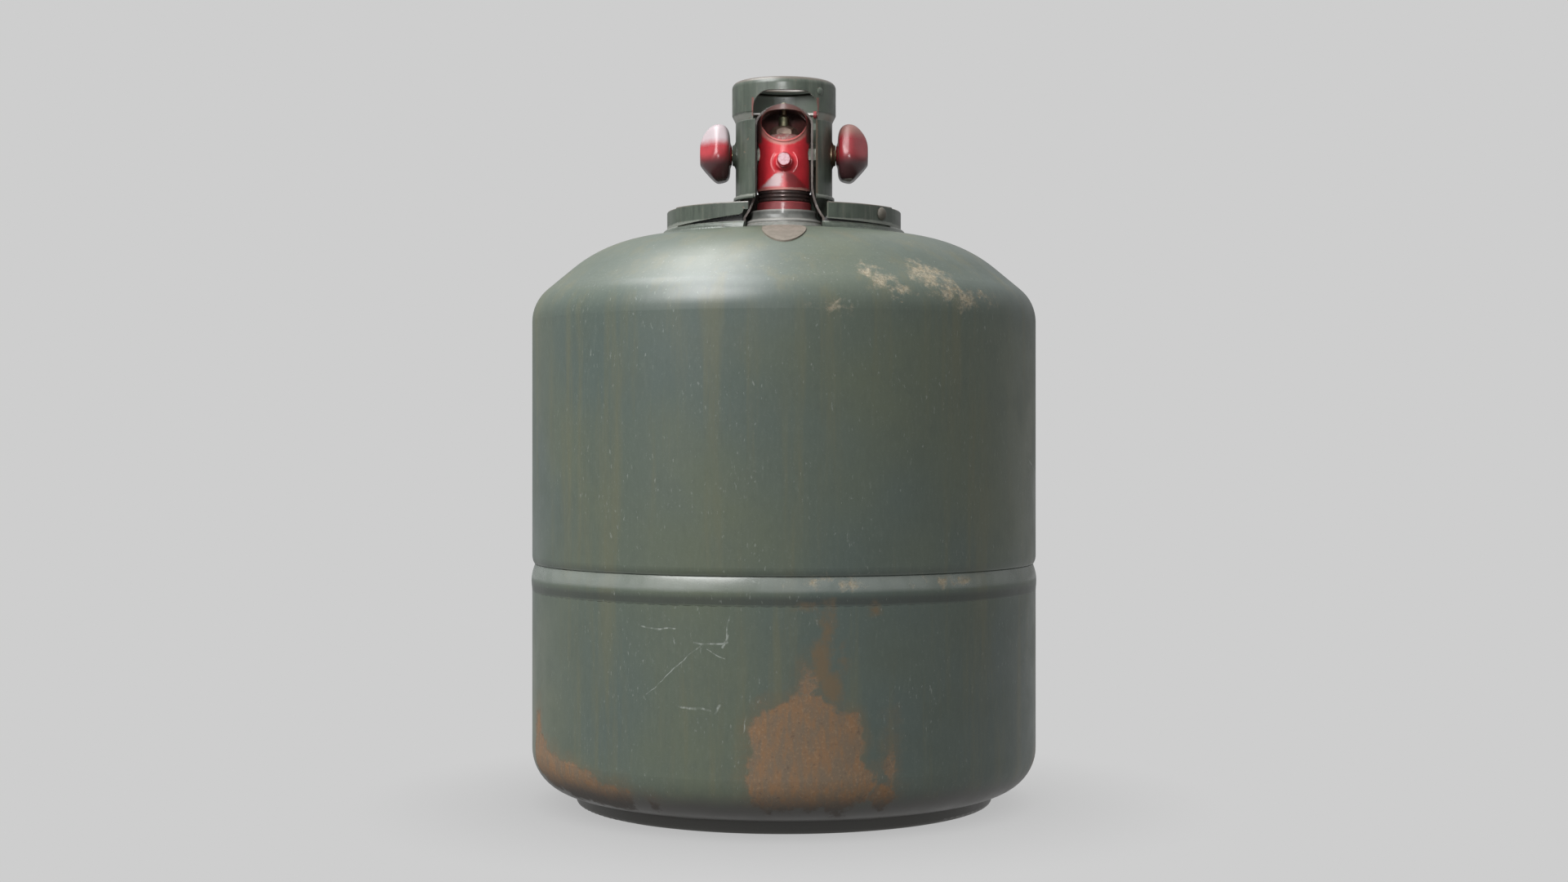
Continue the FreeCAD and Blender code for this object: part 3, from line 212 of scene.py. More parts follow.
# Marks on the wall and the dome. Each oval is (angle from the front in degrees, height, half width,
# half height) in millimetres.
RUST = [
    (4.5, 52, 31, 27), (7, 32, 34, 15), (1, 60, 22, 18), (10, 56, 18, 18), (-1.5, 34, 17, 20),
    (11, 36, 16, 22), (22.6, 36, 3.5, 14), (21, 24, 8, 8), (4.8, 84, 4, 9), (5, 76, 8, 8),
    (-71, 48, 7, 13), (-69, 34, 14, 14), (-62, 28, 18, 12), (-54, 24, 20, 12), (-47, 22, 12, 10),
    (-41, 19, 13, 8), (-36, 19, 4, 6), (-29, 17, 3, 3),
    (128, 44, 30, 24), (122, 62, 12, 16), (-148, 36, 40, 16), (-140, 50, 16, 18), (-112, 28, 16, 8),
    (176, 30, 22, 12), (84, 26, 18, 7), (152, 118, 8, 6),
]
STREAKS = [
    (8.8, 120, 5, 17), (7.5, 100, 6, 14), (9.8, 84, 7, 10), (5.5, 130, 8, 4), (19.4, 127, 4, 4),
    (12.4, 101, 2.5, 6), (126, 78, 5, 16), (-146, 70, 6, 18),
]
CHIPS = [
    (19, 316, 4, 4), (21, 311, 8, 5), (24.5, 306, 7, 4), (34, 314, 12, 9), (38, 308, 12, 7), (43, 300, 11, 5),
    (11, 294.5, 6, 2.6), (48, 303, 6, 2), (7.7, 142.6, 5, 1.7),
    (16, 142.4, 8, 2), (38, 142.6, 9, 2), (118, 310, 15, 10), (126, 301, 8, 4),
    (-128, 306, 14, 7), (172, 296, 12, 4), (-95, 142.5, 10, 2), (142, 142.5, 14, 2), (-160, 142.5, 8, 2),
]
SCRATCHES = [  # angle and height of one end, angle and height of the other, half width
    (-31, 117.5, -23, 116.6, 0.16), (-19, 109, -11.5, 110.5, 0.2), (-17, 109, -30, 80, 0.1),
    (-11.5, 111, -11.3, 125, 0.14), (-12.4, 108, -11.2, 114, 0.2), (-22, 74, -15, 73.4, 0.2),
    (-8.2, 60, -7.6, 69, 0.14), (-14, 72, -13, 76, 0.2), (-16, 106, -12, 101, 0.1),
    (70, 210, 84, 196, 0.14), (96, 118, 98, 96, 0.16), (150, 240, 158, 222, 0.16),
    (-100, 190, -92, 168, 0.14), (-150, 110, -141, 112, 0.18), (178, 84, 186, 60, 0.14),
]


def shell_green(look, broad, clouds, grain):
    """The vessel's paint where it is sound: mottled, streaked downwards and brushed."""
    runs = look.noise((70.0, 70.0, 4.0), 4.0, 0.65)
    brushed = look.noise((460.0, 460.0, 150.0), 4.0, 0.65)
    green = look.mix(look.step(broad, 0.35, 0.65), (0.085, 0.102, 0.070), (0.068, 0.091, 0.080))
    green = look.mix(look.step(clouds, 0.4, 0.75, 0.0, 0.55), green, (0.062, 0.080, 0.062))
    green = look.mix(look.step(runs, 0.48, 0.70, 0.0, 0.6), green, (0.105, 0.108, 0.066))
    green = look.mix(look.step(brushed, 0.50, 0.78, 0.0, 0.24), green, (0.130, 0.150, 0.120))
    green = look.mix(look.step(brushed, 0.30, 0.48, 0.2, 0.0), green, (0.050, 0.062, 0.048))
    return look.mix(look.step(grain, 0.55, 0.8, 0.0, 0.25), green, (0.140, 0.165, 0.145))


def shell_rust(look, flat, torn, fine):
    """Rust with a ragged edge, the share of it that shows, the stain round it and its colour."""
    coarse = look.calc("SUBTRACT", look.noise(60.0, 5.0, 0.66), 0.5)
    bite = look.calc("MULTIPLY_ADD", coarse, 14.0, look.calc("MULTIPLY", torn, 13.0))
    edge = look.calc("ADD", look.patches(flat, RUST), bite)
    streaks = look.calc("ADD", look.patches(flat, STREAKS), bite)
    rust = look.step(edge, -1.4, 1.9)
    stain = look.most(look.step(edge, -9.0, 2.0, 0.0, 0.4), look.step(streaks, -2.0, 5.0, 0.0, 0.8))
    strands = look.noise((260.0, 260.0, 70.0), 5.0, 0.7)
    pits = look.noise(330.0, 4.0, 0.7)
    tone = look.mix(look.step(strands, 0.36, 0.62), (0.190, 0.106, 0.050), (0.138, 0.100, 0.064))
    tone = look.mix(look.step(fine, 0.52, 0.74, 0.0, 0.6), tone, (0.250, 0.165, 0.095))
    tone = look.mix(look.step(pits, 0.55, 0.72, 0.0, 0.6), tone, (0.080, 0.050, 0.032))
    kept = look.step(look.noise((240.0, 240.0, 90.0), 4.0, 0.7), 0.64, 0.72, 0.0, 0.45)
    shown = look.calc("MULTIPLY", rust, look.calc("SUBTRACT", 1.0, kept))
    return rust, shown, stain, tone


def shell_chips(look, flat, torn, fine):
    """Flakes of paint gone to the primer, thinning out at their edges, and the primer's colour."""
    lost = look.calc("ADD", look.patches(flat, CHIPS), look.calc("MULTIPLY", torn, 34.0))
    crumbs = look.step(look.noise(250.0, 5.0, 0.75), 0.32, 0.62, 0.1, 0.9)
    primer = look.mix(look.step(fine, 0.35, 0.65), (0.200, 0.165, 0.105), (0.300, 0.262, 0.190))
    return look.both(look.step(lost, -1.5, 5.0), crumbs), primer


def shell_scratches(look, flat, height):
    """Placed scratches, broken and a little bent, over a sparse field of specks."""
    broken = look.step(look.noise(300.0, 3.0, 0.6), 0.40, 0.62, 0.15, 1.0)
    bent = look.joined(look.spread(look.parts(flat)[0], look.noise(55.0, 2.0), 7.0),
                       look.spread(height, look.noise(48.0, 2.0), 7.0))
    specks = look.step(look.noise((620.0, 620.0, 240.0), 3.0, 0.6), 0.63, 0.73)
    field = look.step(look.noise(26.0, 2.0), 0.38, 0.56)
    return look.most(look.calc("MULTIPLY", look.lines(bent, SCRATCHES), broken),
                     look.both(specks, field, 0.55))


def shell_paint():
    """Old green paint on the vessel, rusted through near the foot and chipped on the dome."""
    look = Look("green_paint_shell")
    flat = look.unwrapped()
    height = look.parts(flat)[1]
    broad = look.noise(7.0, 2.0)
    clouds = look.noise(34.0, 4.0, 0.6)
    grain = look.noise(900.0, 2.0)
    fine = look.noise(620.0, 3.0, 0.6)
    torn = look.calc("SUBTRACT", look.noise(115.0, 5.0, 0.68), 0.5)
    green = shell_green(look, broad, clouds, grain)
    rust, shown, stain, tone = shell_rust(look, flat, torn, fine)
    chips, primer = shell_chips(look, flat, torn, fine)
    marks = shell_scratches(look, flat, height)

    # the seam: a painted highlight on its crest, and painted shade in the turn below it
    seam = look.spread(height, clouds, 1.2)
    patchy = look.step(look.noise(60.0, 3.0), 0.25, 0.60, 0.55, 1.0)
    crest_highlight = look.both(look.band(seam, 138.0, 146.6, 1.4), patchy)
    toe_shade = look.both(look.step(seam, 129.8, 131.2), look.step(seam, 133.0, 137.6, 1.0, 0.0))
    green = look.mix(look.calc("MULTIPLY", crest_highlight, 0.42), green, (0.270, 0.292, 0.275))
    green = look.mix(look.calc("MULTIPLY", toe_shade, 0.62), green, (0.022, 0.025, 0.023))

    # the marks one over the other, and painted shade where the wall curls in to the foot
    foot = look.step(look.spread(height, clouds, 9.0), 15.0, 28.0, 1.0, 0.0)
    colour = look.mix(look.calc("MULTIPLY", stain, 0.95), green, (0.135, 0.088, 0.042))
    colour = look.mix(look.calc("MULTIPLY", marks, 0.65), colour, (0.300, 0.325, 0.300))
    colour = look.mix(chips, colour, primer)
    colour = look.mix(shown, colour, tone)
    colour = look.mix(look.calc("MULTIPLY", foot, 0.9), colour, (0.050, 0.046, 0.042))

    # painted shade on the crown, inside the ring and a little under its front arcs, where reflection is also
    # turned off
    x, y, z = look.millimetres()
    enclosed = look.step(look.away(x, y, (0.0, 0.0)), 72.4, 73.4, 1.0, 0.0)
    ring_shade = look.both(enclosed, look.step(z, 340.0, 342.0))
    thick = look.blend(look.step(clouds, 0.3, 0.7), 0.85, 0.6)
    colour = look.mix(look.calc("MULTIPLY", ring_shade, thick), colour, (0.026, 0.027, 0.022))
    look.feed(look.shader.inputs["Specular IOR Level"], look.blend(ring_shade, 0.65, 0.0))

    rough = look.blend(look.step(clouds, 0.3, 0.7), 0.33, 0.42)
    rough = look.blend(look.calc("MULTIPLY", crest_highlight, 0.8), rough, 0.22)
    rough = look.blend(look.most(rust, chips), rough, 0.8)
    lift = look.calc("MULTIPLY_ADD", broad, 1.6, look.calc("MULTIPLY", grain, 0.05))
    lift = look.calc("SUBTRACT", lift, look.calc("MULTIPLY", look.most(chips, rust), 0.35))
    lift = look.calc("MULTIPLY_ADD", look.calc("MULTIPLY", rust, fine), 0.35, lift)
    lift = look.calc("MULTIPLY_ADD", marks, -0.12, lift)
    return look.finish(colour, rough, lift, 0.0004)


def fitting_paint():
    """The same paint on the guard and the dome's ring: handled, streaked and worn at its edges, with painted
    highlights on some edges and painted light inside the tube.
    """
    look = Look("green_paint_fittings", Coat_Roughness=0.3)
    x, y, z = look.millimetres()
    clouds = look.noise(60.0, 4.0, 0.6)
    runs = look.noise((300.0, 300.0, 22.0), 4.0, 0.62)
    fine = look.noise(900.0, 3.0)
    ragged = look.noise(260.0, 4.0, 0.65)
    green = look.mix(look.step(clouds, 0.35, 0.65), (0.066, 0.081, 0.064), (0.046, 0.058, 0.045))
    green = look.mix(look.step(runs, 0.52, 0.70, 0.0, 0.5), green, (0.120, 0.128, 0.102))
    green = look.mix(look.step(runs, 0.34, 0.46, 0.5, 0.0), green, (0.026, 0.032, 0.026))
    green = look.mix(look.step(fine, 0.6, 0.8, 0.0, 0.25), green, (0.150, 0.160, 0.135))

    # painted light inside the tube: paler paint, most of all in a stripe of painted sheen down the back
    reach = look.away(x, y, (0.0, 0.0))
    within = look.both(look.step(reach, 29.3, 29.6, 1.0, 0.0), look.step(z, 438.4, 438.9, 1.0, 0.0))
    sheen_stripe = look.band(look.spread(x, runs, 5.0), -5.5, 6.5, 1.2)
    inner_painted_light = look.mix(sheen_stripe, (0.100, 0.120, 0.098), (0.185, 0.205, 0.190))
    green = look.mix(look.calc("MULTIPLY", within, 0.9), green, inner_painted_light)

    # pale edges: painted highlights along the shoulder below the band and along the foot flange, and rubbed
    # rims of the ring
    high = look.spread(z, ragged, 1.6)
    tube = look.step(reach, 33.5, 34.5, 1.0, 0.0)
    ring = look.calc("SUBTRACT", 1.0, tube)
    rubbed = look.both(look.most(look.band(high, 417.3, 421.0, 0.6), look.band(high, 370.0, 371.9, 0.3)),
                       look.step(reach, 29.4, 29.8))
    low_edge = look.both(ring, look.band(high, 350.0, 352.6, 0.5))
    rubbed = look.most(look.both(tube, rubbed), low_edge)
    colour = look.mix(look.calc("MULTIPLY", rubbed, 0.55), green, (0.250, 0.262, 0.232))
    handled = look.most(look.both(tube, look.step(high, 439.8, 441.2)),
                        look.both(ring, look.step(high, 361.0, 361.8)))
    colour = look.mix(look.calc("MULTIPLY", handled, 0.75), colour, (0.105, 0.085, 0.070))

    # shade on the top plate's lip, and inside the ring where the dome hides it
    lip = look.both(look.band(z, 439.1, 441.2, 0.2), look.step(reach, 28.5, 28.9, 1.0, 0.0))
    ring_inside = look.both(ring, look.step(reach, 71.0, 71.4, 1.0, 0.0))
    shaded = look.most(lip, ring_inside)
    colour = look.mix(look.calc("MULTIPLY", shaded, 0.85), colour, (0.020, 0.023, 0.020))

    # brown where the front slot's edge is bare, dull red along the band's arch
    ahead = look.step(y, -14.0, -12.0, 1.0, 0.0)
    slot_edge = look.band(look.spread(x, ragged, 1.4), 18.6, 20.6, 0.3)
    bare = look.both(ahead, slot_edge, look.band(z, 372.0, 417.0))
    colour = look.mix(look.calc("MULTIPLY", bare, 0.75), colour, (0.130, 0.088, 0.058))
    sides = look.calc("ABSOLUTE", look.calc("SUBTRACT", x, 0.8))
    arch_edge = look.band(look.spread(sides, ragged, 0.8), 19.2, 20.4, 0.2)
    arch = look.both(ahead, arch_edge, look.band(z, 419.0, 430.0))
    colour = look.mix(look.calc("MULTIPLY", arch, 0.35), colour, (0.300, 0.050, 0.045))

    spots = look.step(look.noise(300.0, 3.0), 0.68, 0.72)
    colour = look.mix(look.calc("MULTIPLY", spots, 0.7), colour, (0.130, 0.088, 0.060))
    look.feed(look.shader.inputs["Specular IOR Level"], look.blend(shaded, 0.5, 0.0))
    look.feed(look.shader.inputs["Coat Weight"], look.blend(shaded, 0.15, 0.0))
    rough = look.blend(look.step(clouds, 0.3, 0.7), 0.28, 0.42)
    rough = look.blend(look.most(bare, spots, shaded), rough, 0.75)
    lift = look.calc("MULTIPLY_ADD", look.most(bare, spots), -0.25, look.calc("MULTIPLY", runs, 0.15))
    lift = look.calc("MULTIPLY_ADD", fine, 0.05, lift)
    return look.finish(colour, rough, lift, 0.0003)


def red_paint(name, bright, dark, worn, gloss, amount):
    """Red enamel, rubbed through to a pinkish ground where it is handled."""
    look = Look(name, Coat_Weight=0.35, Coat_Roughness=0.18)
    clouds = look.noise(120.0, 4.0, 0.6)
    fine = look.noise(1500.0, 3.0)
    ragged = look.noise(520.0, 5.0, 0.7)
    colour = look.mix(look.step(clouds, 0.35, 0.7), bright, dark)
    rub = look.step(ragged, 1.0 - amount, 1.04 - amount)
    colour = look.mix(look.calc("MULTIPLY", rub, 0.85), colour, worn)
    colour = look.mix(look.step(fine, 0.62, 0.8, 0.0, 0.2), colour, (0.62, 0.42, 0.38))
    rough = look.blend(look.step(clouds, 0.3, 0.7), gloss, gloss + 0.14)
    rough = look.blend(rub, rough, 0.6)
    lift = look.calc("MULTIPLY_ADD", rub, -0.2, look.calc("MULTIPLY", clouds, 0.3))
    return look.finish(colour, rough, lift, 0.0003)


def hood_paint():
    """The hood's red: rubbed to grey-brown over its top and rims, with a painted reflection low on the left,
    a painted shadow low on the right and painted shade deep in the scoop.
    """
    look = Look("red_hood", Coat_Weight=0.12, Coat_Roughness=0.3)
    x, y, z = look.millimetres()
    clouds = look.noise(140.0, 4.0, 0.6)
    ragged = look.noise(420.0, 5.0, 0.7)
    fine = look.noise(1500.0, 3.0)
    front = look.step(y, -6.0, -3.5, 1.0, 0.0)
    red = look.mix(look.step(clouds, 0.35, 0.7), (0.56, 0.030, 0.042), (0.47, 0.024, 0.034))

    # a painted reflection spreads down to the left from under the boss, a painted shadow down to the right
    drop = look.calc("SUBTRACT", 389.5, z)
    lean = look.calc("DIVIDE", look.spread(x, ragged, 4.0), look.calc("MAXIMUM", drop, 0.5))
    below = look.both(look.step(drop, 3.0, 5.5), front)
    dark = look.both(look.band(lean, 0.15, 1.15, 0.16), below)
    red = look.mix(look.calc("MULTIPLY", dark, 0.72), red, (0.130, 0.020, 0.022))
    pale = look.both(look.band(lean, -1.12, -0.16, 0.16), below, look.step(z, 376.0, 378.0))
    red = look.mix(look.calc("MULTIPLY", pale, 0.85), red, (0.560, 0.480, 0.490))

    # rims: round the scoop, along the lower edge, over the top and down the sides
    inside = look.both(look.step(y, -15.4, -14.9), look.step(z, 404.0, 405.0))
    scoop = look.both(look.band(look.spread(look.away(x, z, (0.0, SCOOP_Z)), ragged, 1.6), 14.2, 17.0, 0.7),
                      front, look.step(z, 414.0, 419.0, 1.0, 0.0))
    hem = look.band(look.spread(z, ragged, 1.2), 374.0, 376.4, 0.4)
    red = look.mix(look.calc("MULTIPLY", look.most(scoop, hem), 0.7), red, (0.430, 0.235, 0.200))
    top = look.most(look.step(look.spread(z, ragged, 2.4), 418.6, 422.4),
                    look.step(look.spread(x, ragged, 0.8), 14.9, 15.9))
    colour = look.mix(look.calc("MULTIPLY", top, 0.85), red, (0.185, 0.135, 0.118))
    # painted shade deep inside the scoop, behind its front edge
    depth = look.both(look.step(z, 403.0, 405.5), look.step(y, -11.0, -8.0), 0.9)
    colour = look.mix(depth, colour, (0.075, 0.045, 0.038))
    specks = look.step(ragged, 0.68, 0.74, 0.0, 0.5)
    colour = look.mix(specks, colour, (0.440, 0.270, 0.230))
    rough = look.blend(look.most(scoop, hem, pale, specks), 0.34, 0.6)
    rough = look.blend(inside, rough, 0.5)
    lift = look.calc("MULTIPLY_ADD", look.most(scoop, pale, specks), -0.2, look.calc("MULTIPLY", clouds, 0.3))
    return look.finish(colour, rough, look.calc("MULTIPLY_ADD", fine, 0.04, lift), 0.0003)


def wheel_paint():
    """The handwheels' red: a painted highlight on the side turned up and painted shade underneath."""
    look = Look("red_wheels", Coat_Weight=0.12, Coat_Roughness=0.3)
    x, _, z = look.millimetres()
    high = look.calc("SUBTRACT", z, SPINDLE_Z)
    up = look.parts(look.facing)[2]
    clouds = look.noise(150.0, 4.0, 0.6)
    ragged = look.noise(420.0, 5.0, 0.7)
    right = look.step(x, -1.0, 1.0)
    red = look.mix(look.step(clouds, 0.35, 0.7), (0.300, 0.022, 0.030), (0.240, 0.018, 0.024))
    red = look.mix(look.calc("MULTIPLY", right, 0.5), red, (0.130, 0.014, 0.018))
    # painted shade below the axis
    under = look.step(look.spread(high, clouds, 3.0), 0.5, -7.5)
    red = look.mix(look.calc("MULTIPLY", under, 0.92), red, (0.036, 0.020, 0.021))
    # the pale upper side is a painted highlight: pinkish white on the left wheel, brown on the right
    worn = look.mix(right, (0.350, 0.315, 0.330), (0.230, 0.115, 0.098))
    edge = look.blend(right, 6.9, 11.8)
    pale = look.step(look.calc("SUBTRACT", look.spread(high, ragged, 3.0), edge), -3.2, 3.4)
    colour = look.mix(look.calc("MULTIPLY", pale, 0.9), red, worn)
    bare = look.both(right, look.step(look.spread(up, clouds, 0.2), -0.84, -0.93))
    colour = look.mix(bare, colour, (0.300, 0.270, 0.245))
    chips = look.step(ragged, 0.69, 0.74, 0.0, 0.6)
    colour = look.mix(chips, colour, (0.330, 0.200, 0.170))
    rough = look.blend(look.most(pale, chips), 0.27, 0.42)
    lift = look.calc("MULTIPLY_ADD", look.most(pale, chips), -0.15, look.calc("MULTIPLY", clouds, 0.25))
    return look.finish(colour, rough, lift, 0.0003)


def neck_paint():
    """Grey paint on the neck's boss, with painted highlights along its edges, and pale where the weld runs
    into it.
    """
    look = Look("neck_paint", Coat_Weight=0.1)
    clouds = look.noise(170.0, 4.0, 0.6)
    ragged = look.noise(420.0, 5.0, 0.7)
    high = look.spread(look.millimetres()[2], ragged, 1.0)
    grey = look.mix(look.step(clouds, 0.35, 0.65), (0.125, 0.128, 0.118), (0.088, 0.092, 0.084))
    # painted highlights along the boss's two edges
    edges = look.most(look.band(high, 361.7, 363.2, 0.3), look.band(high, 355.6, 357.2, 0.5))
    grey = look.mix(look.calc("MULTIPLY", edges, 0.7), grey, (0.290, 0.285, 0.265))
    colour = look.mix(look.step(high, 354.0, 355.4, 0.85, 0.0), grey, (0.400, 0.380, 0.345))
    spots = look.step(ragged, 0.66, 0.72, 0.0, 0.6)
    colour = look.mix(spots, colour, (0.130, 0.100, 0.080))
    return look.finish(colour, look.blend(spots, 0.38, 0.65), clouds, 0.0002)


def button_paint():
    """The push button: pinkish and rubbed smooth on its face, red at its rim and side."""
    look = Look("red_button", Coat_Weight=0.3, Coat_Roughness=0.2)
    x, y, z = look.millimetres()
    clouds = look.noise(420.0, 4.0, 0.6)
    off = look.spread(look.away(x, z, (0.0, BUTTON_Z)), clouds, 1.4)
    face = look.both(look.step(off, 3.3, 3.9, 1.0, 0.0), look.step(y, -30.6, -30.2, 1.0, 0.0))
    red = look.mix(look.step(clouds, 0.35, 0.7), (0.30, 0.020, 0.028), (0.20, 0.014, 0.020))
    pink = look.mix(look.step(clouds, 0.40, 0.62), (0.430, 0.235, 0.265), (0.350, 0.130, 0.165))
    return look.finish(look.mix(face, red, pink), look.blend(face, 0.25, 0.45), clouds, 0.0002)


METALS = {
    # light and dark colours, colour of the stains, roughness, waves per metre of the grain, metallic
    "brass_aged": ((0.45, 0.34, 0.18), (0.30, 0.23, 0.12), (0.14, 0.13, 0.08), 0.3, 1400.0, 1.0),
    "bronze_dull": ((0.30, 0.24, 0.16), (0.17, 0.17, 0.11), (0.08, 0.09, 0.06), 0.38, 1400.0, 1.0),
    "steel_bare": ((0.52, 0.51, 0.49), (0.36, 0.35, 0.33), (0.20, 0.13, 0.08), 0.3, 1800.0, 1.0),
    "nut_dull": ((0.2, 0.14, 0.105), (0.14, 0.09, 0.068), (0.3, 0.23, 0.18), 0.36, 1400.0, 0.3),
    "nut_olive": ((0.15, 0.15, 0.125), (0.1, 0.105, 0.085), (0.2, 0.19, 0.16), 0.4, 1400.0, 0.4),
    # on the lock ring the stain colour is painted bluish glints
    "lock_ring_worn_glinting": ((0.07, 0.042, 0.038), (0.048, 0.034, 0.032), (0.13, 0.14, 0.165), 0.26, 1400.0, 0.3),
    "strap_paint": ((0.135, 0.108, 0.094), (0.095, 0.075, 0.066), (0.2, 0.15, 0.13), 0.4, 900.0, 0.0),
    "tan_plate": ((0.15, 0.128, 0.103), (0.118, 0.1, 0.078), (0.09, 0.07, 0.052), 0.5, 900.0, 0.0),
    "rivet_brown": ((0.115, 0.105, 0.088), (0.08, 0.072, 0.058), (0.15, 0.13, 0.105), 0.42, 900.0, 0.1),
    "weld_pale": ((0.2, 0.205, 0.19), (0.135, 0.142, 0.128), (0.11, 0.088, 0.065), 0.4, 700.0, 0.1),
}


def metal(name):
    """Bare, plated or thinly painted metal, tarnished in clouds and with a fine turned grain."""
    light, dark, stain, gloss, grain, metallic = METALS[name]
    look = Look(name)
    clouds = look.noise(170.0, 4.0, 0.6)
    fine = look.noise(grain, 2.0)
    spots = look.step(look.noise(700.0, 4.0, 0.65), 0.6, 0.72)
    colour = look.mix(look.step(clouds, 0.35, 0.65), light, dark)
    colour = look.mix(look.calc("MULTIPLY", spots, 0.7), colour, stain)
    rough = look.blend(look.step(clouds, 0.3, 0.7), gloss, gloss + 0.18)
    rough = look.blend(spots, rough, 0.7)
    lift = look.calc("MULTIPLY_ADD", fine, 0.15, look.calc("MULTIPLY", spots, -0.15))
    return look.finish(colour, rough, lift, 0.0002, look.blend(spots, metallic, metallic * 0.4))


def soft_part(name, colour, second, roughness):
    """Rubber or moulded plastic: faint mottling and a matt moulded skin."""
    look = Look(name)
    clouds = look.noise(240.0, 3.0)
    pores = look.noise(2600.0, 2.0)
    tone = look.mix(look.step(clouds, 0.35, 0.65), colour, second)
    rough = look.blend(look.step(pores, 0.3, 0.7), roughness, roughness + 0.12)
    return look.finish(tone, rough, pores, 0.00004)


def paint_nodes():
    """Gives every CAD node its finish; returns the finishes by node name."""
    enamel = red_paint("red_enamel", (0.24, 0.036, 0.040), (0.17, 0.024, 0.028), (0.30, 0.18, 0.16),
                       0.34, 0.30)
    rubbed = red_paint("red_rubbed", (0.36, 0.14, 0.135), (0.30, 0.10, 0.095), (0.36, 0.27, 0.24),
                       0.40, 0.50)
    rubber = soft_part("rubber", (0.020, 0.020, 0.021), (0.032, 0.031, 0.030), 0.62)
    plastic = soft_part("float_plastic", (0.50, 0.42, 0.24), (0.44, 0.36, 0.19), 0.4)
    finishes = [
        (shell_paint(), "upper_shell lower_shell girth_weld bottom_head bottom_head_weld foot_ring"),
        (fitting_paint(), "guard guard_rivet guard_foot guard_boss_left"
                          " ring_rear ring_front_left ring_front_right ring_weld"),
        (metal("bronze_dull"), "guard_boss_right relief_stem"),
        (metal("rivet_brown"), "ring_rivet"),
        (neck_paint(), "neck_boss"),
        (metal("strap_paint"), "hood_strap"),
        (metal("weld_pale"), "neck_weld"),
        (metal("tan_plate"), "dome_plate"),
        (metal("brass_aged"), "valve_block spindle_left spindle_right outlet_port"
                              " seat_carrier_left seat_carrier_right dip_tube level_tube stop_housing"),
        (metal("nut_dull"), "gland_nut"),
        (metal("nut_olive"), "packing_nut_left packing_nut_right"),
        (rubbed, "valve_shoulder"),
        (enamel, "red_ring cross_pin_collar"),
        (hood_paint(), "valve_hood"),
        (wheel_paint(), "handwheel_left handwheel_right"),
        (button_paint(), "bleed_button"),
        (metal("lock_ring_worn_glinting"), "lock_ring"),
        (metal("steel_bare"), "relief_spring bleed_spring cross_pin float_pin float_arm"
                              " wheel_washer_left wheel_washer_right wheel_screw_left wheel_screw_right"),
        (rubber, "relief_seal gland_packing_left gland_packing_right seat_disc_left seat_disc_right"
                 " bleed_seal outlet_seal"),
        (plastic, "float"),
    ]
    left = set(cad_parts)
    for material, names in finishes:
        for name in names.split():
            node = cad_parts[name]
            node.data.materials.clear()
            node.data.materials.append(material)
            left.remove(name)
    assert not left, sorted(left)
    return {name: node.data.materials[0] for name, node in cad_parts.items()}


# ---------------------------------------------------------------- pieces with finer form

def surface(name, point, around, along, material, body="vessel", closed=True):
    """A skin over a grid: point(turn, rise), both from 0 to 1, gives millimetres; rides on a body."""
    form = bmesh.new()
    turns = around if closed else around + 1
    grid = [[form.verts.new([value / 1000 for value in point(step / around, row / along)])
             for step in range(turns)] for row in range(along + 1)]
    for low, high in zip(grid, grid[1:]):
        for step in range(around):
            after = (step + 1) % turns
            form.faces.new((low[step], low[after], high[after], high[step]))
    bmesh.ops.remove_doubles(form, verts=form.verts, dist=1e-7)
    for face in form.faces:
        face.smooth = True
    bmesh.ops.recalc_face_normals(form, faces=form.faces)
    mesh = bpy.data.meshes.new(name)
    form.to_mesh(mesh)
    form.free()
    mesh.materials.append(material)
    piece = bpy.data.objects.new(name, mesh)
    bpy.context.scene.collection.objects.link(piece)
    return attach(piece, body)


def crown(radius):
    """Height of the dome's crown at a radius, in millimetres."""
    return CROWN_TOP - CROWN_RADIUS + math.sqrt(CROWN_RADIUS ** 2 - radius ** 2)


WHEEL_SECTION = [  # distance out from the axis of the valve, radius
    (32.2, 3.5), (32.2, 5.4), (32.5, 6.2), (33.0, 7.2), (33.3, 8.6), (33.4, 11.5), (33.9, 14.4), (35.0, 17.0),
    (36.9, 18.8), (39.4, 19.5), (41.8, 19.4), (44.6, 18.3), (47.2, 16.0), (49.3, 13.2), (50.6, 11.0),
    (51.5, 8.2), (51.9, 6.2), (51.8, 5.1), (51.3, 4.6), (50.0, 4.6), (46.5, 4.6), (46.5, 3.5),
]
WHEEL_FLATS = (-90, 30, 150)  # headings of the flats, in degrees from the front


def wheel(side, sign, material):
    """A cast wheel with three flats whose corners are rounded over."""
    flats = [math.radians(angle) for angle in WHEEL_FLATS]
    rows = len(WHEEL_SECTION) - 1
    root, fullest = 32.2, 42.0  # distance out where the wheel begins and where its flats stand off most
    hub = 6.8  # radius of the hub, which has no flats
    blend = 18  # the higher, the sharper a flat meets the round

    def point(turn, rise):
        out, radius = WHEEL_SECTION[round(rise * rows)]
        angle = turn * math.tau
        if out < fullest:
            flat_off = 15.4 + (out - root) * 0.2
        else:
            flat_off = 17.4 - (out - fullest) * 1.12
        if radius > hub and rise < 0.8:
            for flat in flats:
                reach = math.cos(angle - flat)
                if reach > 0.2:
                    radius = (radius ** -blend + (flat_off / reach) ** -blend) ** (-1 / blend)
        return sign * out, -radius * math.cos(angle), SPINDLE_Z + radius * math.sin(angle)

    piece = surface("wheel_form_" + side, point, 96, rows, material, side + "_wheel")
    rounded = piece.modifiers.new("rounded", "SUBSURF")
    rounded.levels = 1
    rounded.render_levels = 1
    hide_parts("handwheel_" + side)


